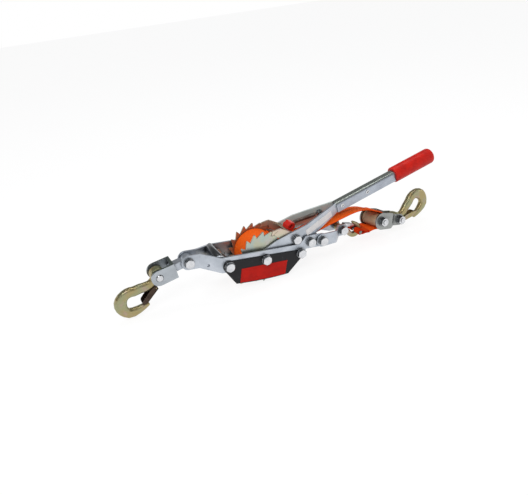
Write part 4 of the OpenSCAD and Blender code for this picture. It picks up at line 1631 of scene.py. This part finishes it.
@dataclass
class FreeStrap(SubAssembly):
    """The strap from the coil, over the rear link, round the pulley and back to its sewn eye."""

    title: ClassVar[str] = "strap"
    block: BlockPlace = field(default_factory=BlockPlace)
    leave_angle: float = 50.0
    leave_radius: float = 43.4
    front: Run = (
        (34.0, 27.6), (41.0, 23.6), (50.0, 21.2), (60.0, 20.4), (70.0, 20.8),
        (84.0, 22.9), (100.0, 26.4), (116.0, 31.0), (134.0, 37.0), (150.2, 42.55),
    )  # fmt: skip
    upper: Run = (
        (150.2, 42.55), (168.0, 48.2), (186.0, 53.2, 1.5), (204.0, 56.8, 6.0), (222.0, 59.0, 9.5),
        (240.0, 58.8, 10.5), (254.0, 56.2, 11.0), (266.0, 52.4, 10.5),
    )  # fmt: skip
    over_block: Point = (-5.5, 0.0, 20.3)
    upper_end: float = 68.0
    wrap_from: float = 66.0
    wrap_to: float = -96.0
    wrap_steps: int = 30
    below_block: Run = ((-2.6, 0.0), (-10.0, 0.0), (-17.0, 0.4))
    levelled: float = 0.4
    meets_eye: tuple[float, float] = (25.53, -2.0)
    step: float = 4.0
    back_step: float = 3.0
    eye_step: float = 1.6
    pin: tuple[float, float] = (231.17, 13.34)
    doubled: Span = (14.0, 25.33)
    eye_radius: float = 4.9
    eye_angles: tuple[int, int, int] = (60, 301, 20)
    eye_ends: Span = (-0.85, -3.15)
    eye_upper: Run = ((14.0, -0.35), (7.0, 2.4))
    eye_lower: Run = ((7.0, -4.6), (14.0, -3.2))
    slot_half: float = 5.1
    slot_end: float = 16.5
    front_bend: Run = ((119.0, 31.9), (149.0, 42.3))
    upper_bend: Run = ((152.0, 43.0), (262.0, 52.0))
    lower_bend: Run = ((257.0, 11.0), (279.0, 12.0))
    eye_bend: Run = ((234.17, 13.34), (256.0, 13.34))
    seams: int = 4
    per_seam: int = 12
    seam_from: float = 14.6
    seam_gap: float = 3.4
    seam_width: float = 40.0
    stitch_half: float = 1.3
    stitch_rise: float = 0.35
    thread: float = 0.34
    thread_sides: int = 6
    arch_steps: int = 8
    seam_rise: float = 0.75
    seam_fall: float = 0.5

    def bend(self, piece: Object, bodies: tuple[str, str], span: Run) -> None:
        """Bakes a piece's placing into its mesh.

        Args:
            piece: the finished piece.
            bodies: not used.
            span: where the bend starts and ends, along and above the frame.
        """
        start, end = (LAY.put((x, 0.0, z)) for x, z in span)
        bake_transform(piece)

    def lay(
        self, ribbon: Ribbon, node: str, held: Held, rests_on: list[str], finish: Look = Look.ORANGE_WEAVE
    ) -> Object:
        """Makes a length of webbing and logs its length.

        Args:
            ribbon: the length of webbing.
            node: the CAD node that it replaces.
            held: not used.
            rests_on: not used.
            finish: its finish.

        Returns:
            The finished piece.
        """
        piece = self.add(ribbon.make(), finish, Slot.WEBBING, node)
        flat = (ribbon.width * MM, round(ribbon.length(), 4))
        LOG.info("strap: %s is %.3f m long", piece.name, flat[1])
        return piece

    def build(self) -> None:
        """Makes the strap's four lengths, its sewn eye and the stitches."""
        a = math.radians(self.leave_angle)
        leave = (self.leave_radius * math.cos(a), self.leave_radius * math.sin(a))
        front = Ribbon("strap_from_coil", flowing(level_run((leave, *self.front)), self.step))
        piece = self.lay(front, "strap_front", Held.STRETCHED, ["strap_coil", "neck_bolt"])
        self.bend(piece, ("frame", "rear_link"), self.front_bend)

        over = level_run(self.upper)
        over.append(Station(self.block.point(self.over_block), self.block.level()))
        over.append(self.block.on_pulley(self.upper_end))
        run = front.length()
        upper = Ribbon("strap_over_link", flowing(over, self.step), from_along=run)
        piece = self.lay(upper, "strap_upper", Held.STRETCHED, ["link_bolt", "strap_pulley"])
        self.bend(piece, ("rear_link", "block"), self.upper_bend)

        run += upper.length()
        turn = self.block.round_pulley(self.wrap_from, self.wrap_to, self.wrap_steps)
        wrap = Ribbon("strap_round_pulley", turn, from_along=run)
        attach(self.lay(wrap, "strap_wrap", Held.STRETCHED, ["strap_pulley"]), "block")

        run += wrap.length()
        lower = Ribbon("strap_to_eye", flowing(self.way_back(), self.back_step), from_along=run)
        piece = self.lay(lower, "strap_lower", Held.STRETCHED, ["strap_pulley", "strap_pin"])
        self.bend(piece, ("rear_link", "block"), self.lower_bend)
        self.sewn_eye()

    def way_back(self) -> list[Station]:
        """Stations from the pulley's underside to the sewn end, where the strap lies level.

        Returns:
            The stations.
        """
        below = [self.block.point((x, 0.0, rise - self.block.wrap_radius)) for x, rise in self.below_block]
        level = self.block.level()
        levels = (level, level.copy(), LEVEL.lerp(level, self.levelled), LEVEL.copy())
        x, z = self.meets_eye
        below.append(Vector((self.pin[0] + x, 0.0, self.pin[1] + z)))
        return [Station(place, across) for place, across in zip(below, levels)]

    def eye_path(self) -> list[Station]:
        """Runs the strap's end in along the top, round the pin and back underneath.

        Returns:
            The stations.
        """
        angles = [math.radians(degrees) for degrees in range(*self.eye_angles)]
        turn = [(self.eye_radius * math.cos(a), self.eye_radius * math.sin(a)) for a in angles]
        start, end = ((self.doubled[1], z) for z in self.eye_ends)
        route = (start, *self.eye_upper, *turn, *self.eye_lower, end)
        return flowing(level_run((self.pin[0] + x, self.pin[1] + z) for x, z in route), self.eye_step)

    def slotted(self, middle: Vector, y: float) -> bool:
        """Says whether the small hook passes through the sewn eye at a place."""
        return abs(y) < self.slot_half and middle.x < self.pin[0] + self.slot_end

    def sewn_eye(self) -> None:
        """Makes the doubled sewn end round its pin, slotted for the hook, and its stitches."""
        eye = Ribbon("strap_sewn_eye", self.eye_path(), columns=44, hole=self.slotted)
        folded = self.lay(eye, "strap_eye", Held.FOLDED, ["strap_pin"], Look.ORANGE_WEAVE_END)
        sewn = self.add(self.stitches(), Look.STITCH_THREAD, Slot.WEBBING)
        for piece in (folded, sewn):
            self.bend(piece, ("anchor_hook", "rear_link"), self.eye_bend)

    def stitches(self) -> Object:
        """Sews the doubled end: one arched stitch, copied in rows across its upper face.

        Returns:
            All stitches as one piece.
        """
        arch = [math.pi * i / self.arch_steps for i in range(self.arch_steps + 1)]
        half, rise = self.stitch_half, self.stitch_rise
        thread = [Vector((0.0, half * (2 * a / math.pi - 1), rise * math.sin(a))) for a in arch]
        first = tube("strap_stitches", thread, self.thread, self.thread_sides)
        doubled_from, doubled_to = self.doubled
        rows = []
        for row in range(self.seams):
            along = self.seam_from + row * self.seam_gap
            fall = self.seam_fall * (along - doubled_from) / (doubled_to - doubled_from)
            for i in range(self.per_seam):
                across = (i - (self.per_seam - 1) / 2) * self.seam_width / self.per_seam
                stitch = linked("stitch", first.data.copy())
                place = LAY.turn((self.pin[0] + along, across, self.pin[1] + self.seam_rise - fall)) * MM
                stitch.data.transform(Matrix.Translation(place))
                rows.append(stitch)
        bpy.data.objects.remove(first)
        return joined(rows, "strap_stitches")


# ---------------------------------------------------------------- studio


@dataclass
class ViewCamera:
    """The camera, given in the drawing frame by its heading, height angle, roll and distance."""

    heading: float = -26.8
    height: float = 24.62
    roll: float = 1.63
    distance: float = 1076.98
    focal_px: float = 538.93
    origin_px: tuple[float, float] = (257.79, 251.84)
    size_px: tuple[float, float] = (528.0, 495.0)
    sensor: float = 36.0
    clip: Span = (0.05, 50.0)

    def make(self) -> Object:
        """Adds the camera and makes it the scene's own.

        Returns:
            The camera.
        """
        a, e, roll = (math.radians(v) for v in (self.heading, self.height, self.roll))
        d = Vector((-math.sin(a) * math.cos(e), math.cos(a) * math.cos(e), -math.sin(e)))
        r = Vector((math.cos(a), math.sin(a), 0.0))
        u = r.cross(d)
        right = r * math.cos(roll) + u * math.sin(roll)
        up = u * math.cos(roll) - r * math.sin(roll)
        x = (self.origin_px[0] - self.size_px[0] / 2) * self.distance / self.focal_px
        y = -(self.origin_px[1] - self.size_px[1] / 2) * self.distance / self.focal_px
        place = -x * right - y * up - self.distance * d
        data = bpy.data.cameras.new("view_camera")
        data.sensor_fit = "HORIZONTAL"
        data.sensor_width = self.sensor
        data.lens = self.focal_px * self.sensor / self.size_px[0]
        data.clip_start, data.clip_end = self.clip
        camera = linked("view_camera", data)
        axes = [LAY.turn(v) for v in (right, up, -d)]
        turn = Matrix(axes).transposed().to_4x4()
        camera.matrix_world = Matrix.Translation(LAY.put(place)) @ turn
        bpy.context.scene.camera = camera
        return camera


@dataclass(frozen=True)
class SoftBox:
    """A rectangular studio lamp that looks at the middle of the winch."""

    name: str
    place: Point
    size: tuple[float, float]
    power: float
    colour: Colour = (1.0, 1.0, 1.0)

    def make(self, target: Vector) -> Object:
        """Adds the lamp.

        Args:
            target: the point that it is aimed at.

        Returns:
            The lamp.
        """
        data = bpy.data.lights.new(self.name, "AREA")
        data.shape = "RECTANGLE"
        data.size, data.size_y = self.size
        data.energy = self.power
        data.color = self.colour
        lamp = linked(self.name, data)
        lamp.location = self.place
        lamp.rotation_mode = "QUATERNION"
        lamp.rotation_quaternion = (target - Vector(self.place)).to_track_quat("-Z", "Y")
        return lamp


@dataclass
class Studio:
    """Floor, world and lamps."""

    lamps: tuple[SoftBox, ...] = (
        SoftBox("key_box", (-0.9, -1.1, 1.7), (0.9, 0.7), 15.0),
        SoftBox("top_box", (0.3, 0.5, 2.0), (1.6, 0.4), 10.0),
        SoftBox("side_box", (1.7, -0.9, 0.8), (0.4, 1.0), 3.0),
    )
    floor_side: float = 12.0
    floor_colour: Colour = (0.85, 0.85, 0.85)
    floor_rough: float = 0.9
    floor_shine: float = 0.1
    floor_white: float = 0.80
    floor_glow: float = 1.09
    white: Colour = (1.0, 1.0, 1.0)
    sweep: Run = ((0.0, 1.0), (0.14, 1.0), (0.34, 0.14), (0.7, 0.08), (1.0, 0.30))
    fill: Colour = (0.46, 0.46, 0.47)

    def floor(self) -> None:
        """Lays the pale floor, white to the camera with the winch's soft shadow on it."""
        deselect()
        bpy.ops.mesh.primitive_plane_add(size=self.floor_side, location=(0.0, 0.0, 0.0))
        plane = named(bpy.context.active_object, "studio_floor")
        p = Paint("studio_floor")
        p.set(
            Base_Color=self.floor_colour, Roughness=self.floor_rough, Specular_IOR_Level=self.floor_shine
        )
        glow = p.node("ShaderNodeEmission", None, self.white, self.floor_glow)
        lit = Value(p, p.shader.outputs["BSDF"])
        p.surface(p.node("ShaderNodeMixShader", None, self.seen(p) * self.floor_white, lit, glow))
        plane.data.materials.append(p.material)

    def seen(self, p: Paint) -> Value:
        """Tells the rays that show the floor from those that light the winch.

        Args:
            p: the floor's material.

        Returns:
            1 for camera, mirror and glass rays, 0 for the others.
        """
        kinds = ("Is Camera Ray", "Is Glossy Ray", "Is Transmission Ray")
        camera, glossy, glass = (p.node("ShaderNodeLightPath", out=kind) for kind in kinds)
        return (camera + glossy + glass).least(1.0)

    def world(self) -> None:
        """Makes the surroundings: a white sweep that darkens upwards, and even light from it."""
        world = bpy.data.worlds.new("studio")
        bpy.context.scene.world = world
        world.use_nodes = True
        air = Nodes(world.node_tree)
        height = air.node("ShaderNodeTexCoord", out="Generated").part("Z")
        stops = [(at, (level, level, level)) for at, level in self.sweep]
        mirrored = air.node("ShaderNodeValToRGB", {"stops": stops}, height)
        around = air.mix(air.node("ShaderNodeLightPath", out="Is Diffuse Ray"), mirrored, self.fill)
        shown = air.mix(air.node("ShaderNodeLightPath", out="Is Camera Ray"), around, self.white)
        air.feed(world.node_tree.nodes["Background"].inputs["Color"], shown)

    def build(self) -> None:
        """Builds the studio."""
        self.floor()
        self.world()
        low, high = CAD_BOX
        for lamp in self.lamps:
            lamp.make((low + high) / 2)
        bpy.context.scene.view_settings.view_transform = "Standard"


def main() -> None:
    """Builds the camera, the studio and every sub-assembly."""
    logging.basicConfig(level=logging.INFO, format="%(name)s: %(message)s")
    ViewCamera().make()
    Studio().build()
    wardrobe = Wardrobe()
    parts = (SideFrame, RatchetDrum, Handle, DrivePawl, FrontChain, RearLink, PulleyBlock, FreeStrap)
    for kind in parts:
        part = kind(wardrobe)
        part.dress()
        part.build()
        LOG.info("%s: done, %d new pieces", part.title, len(part.made))


if __name__ == "__main__":
    main()
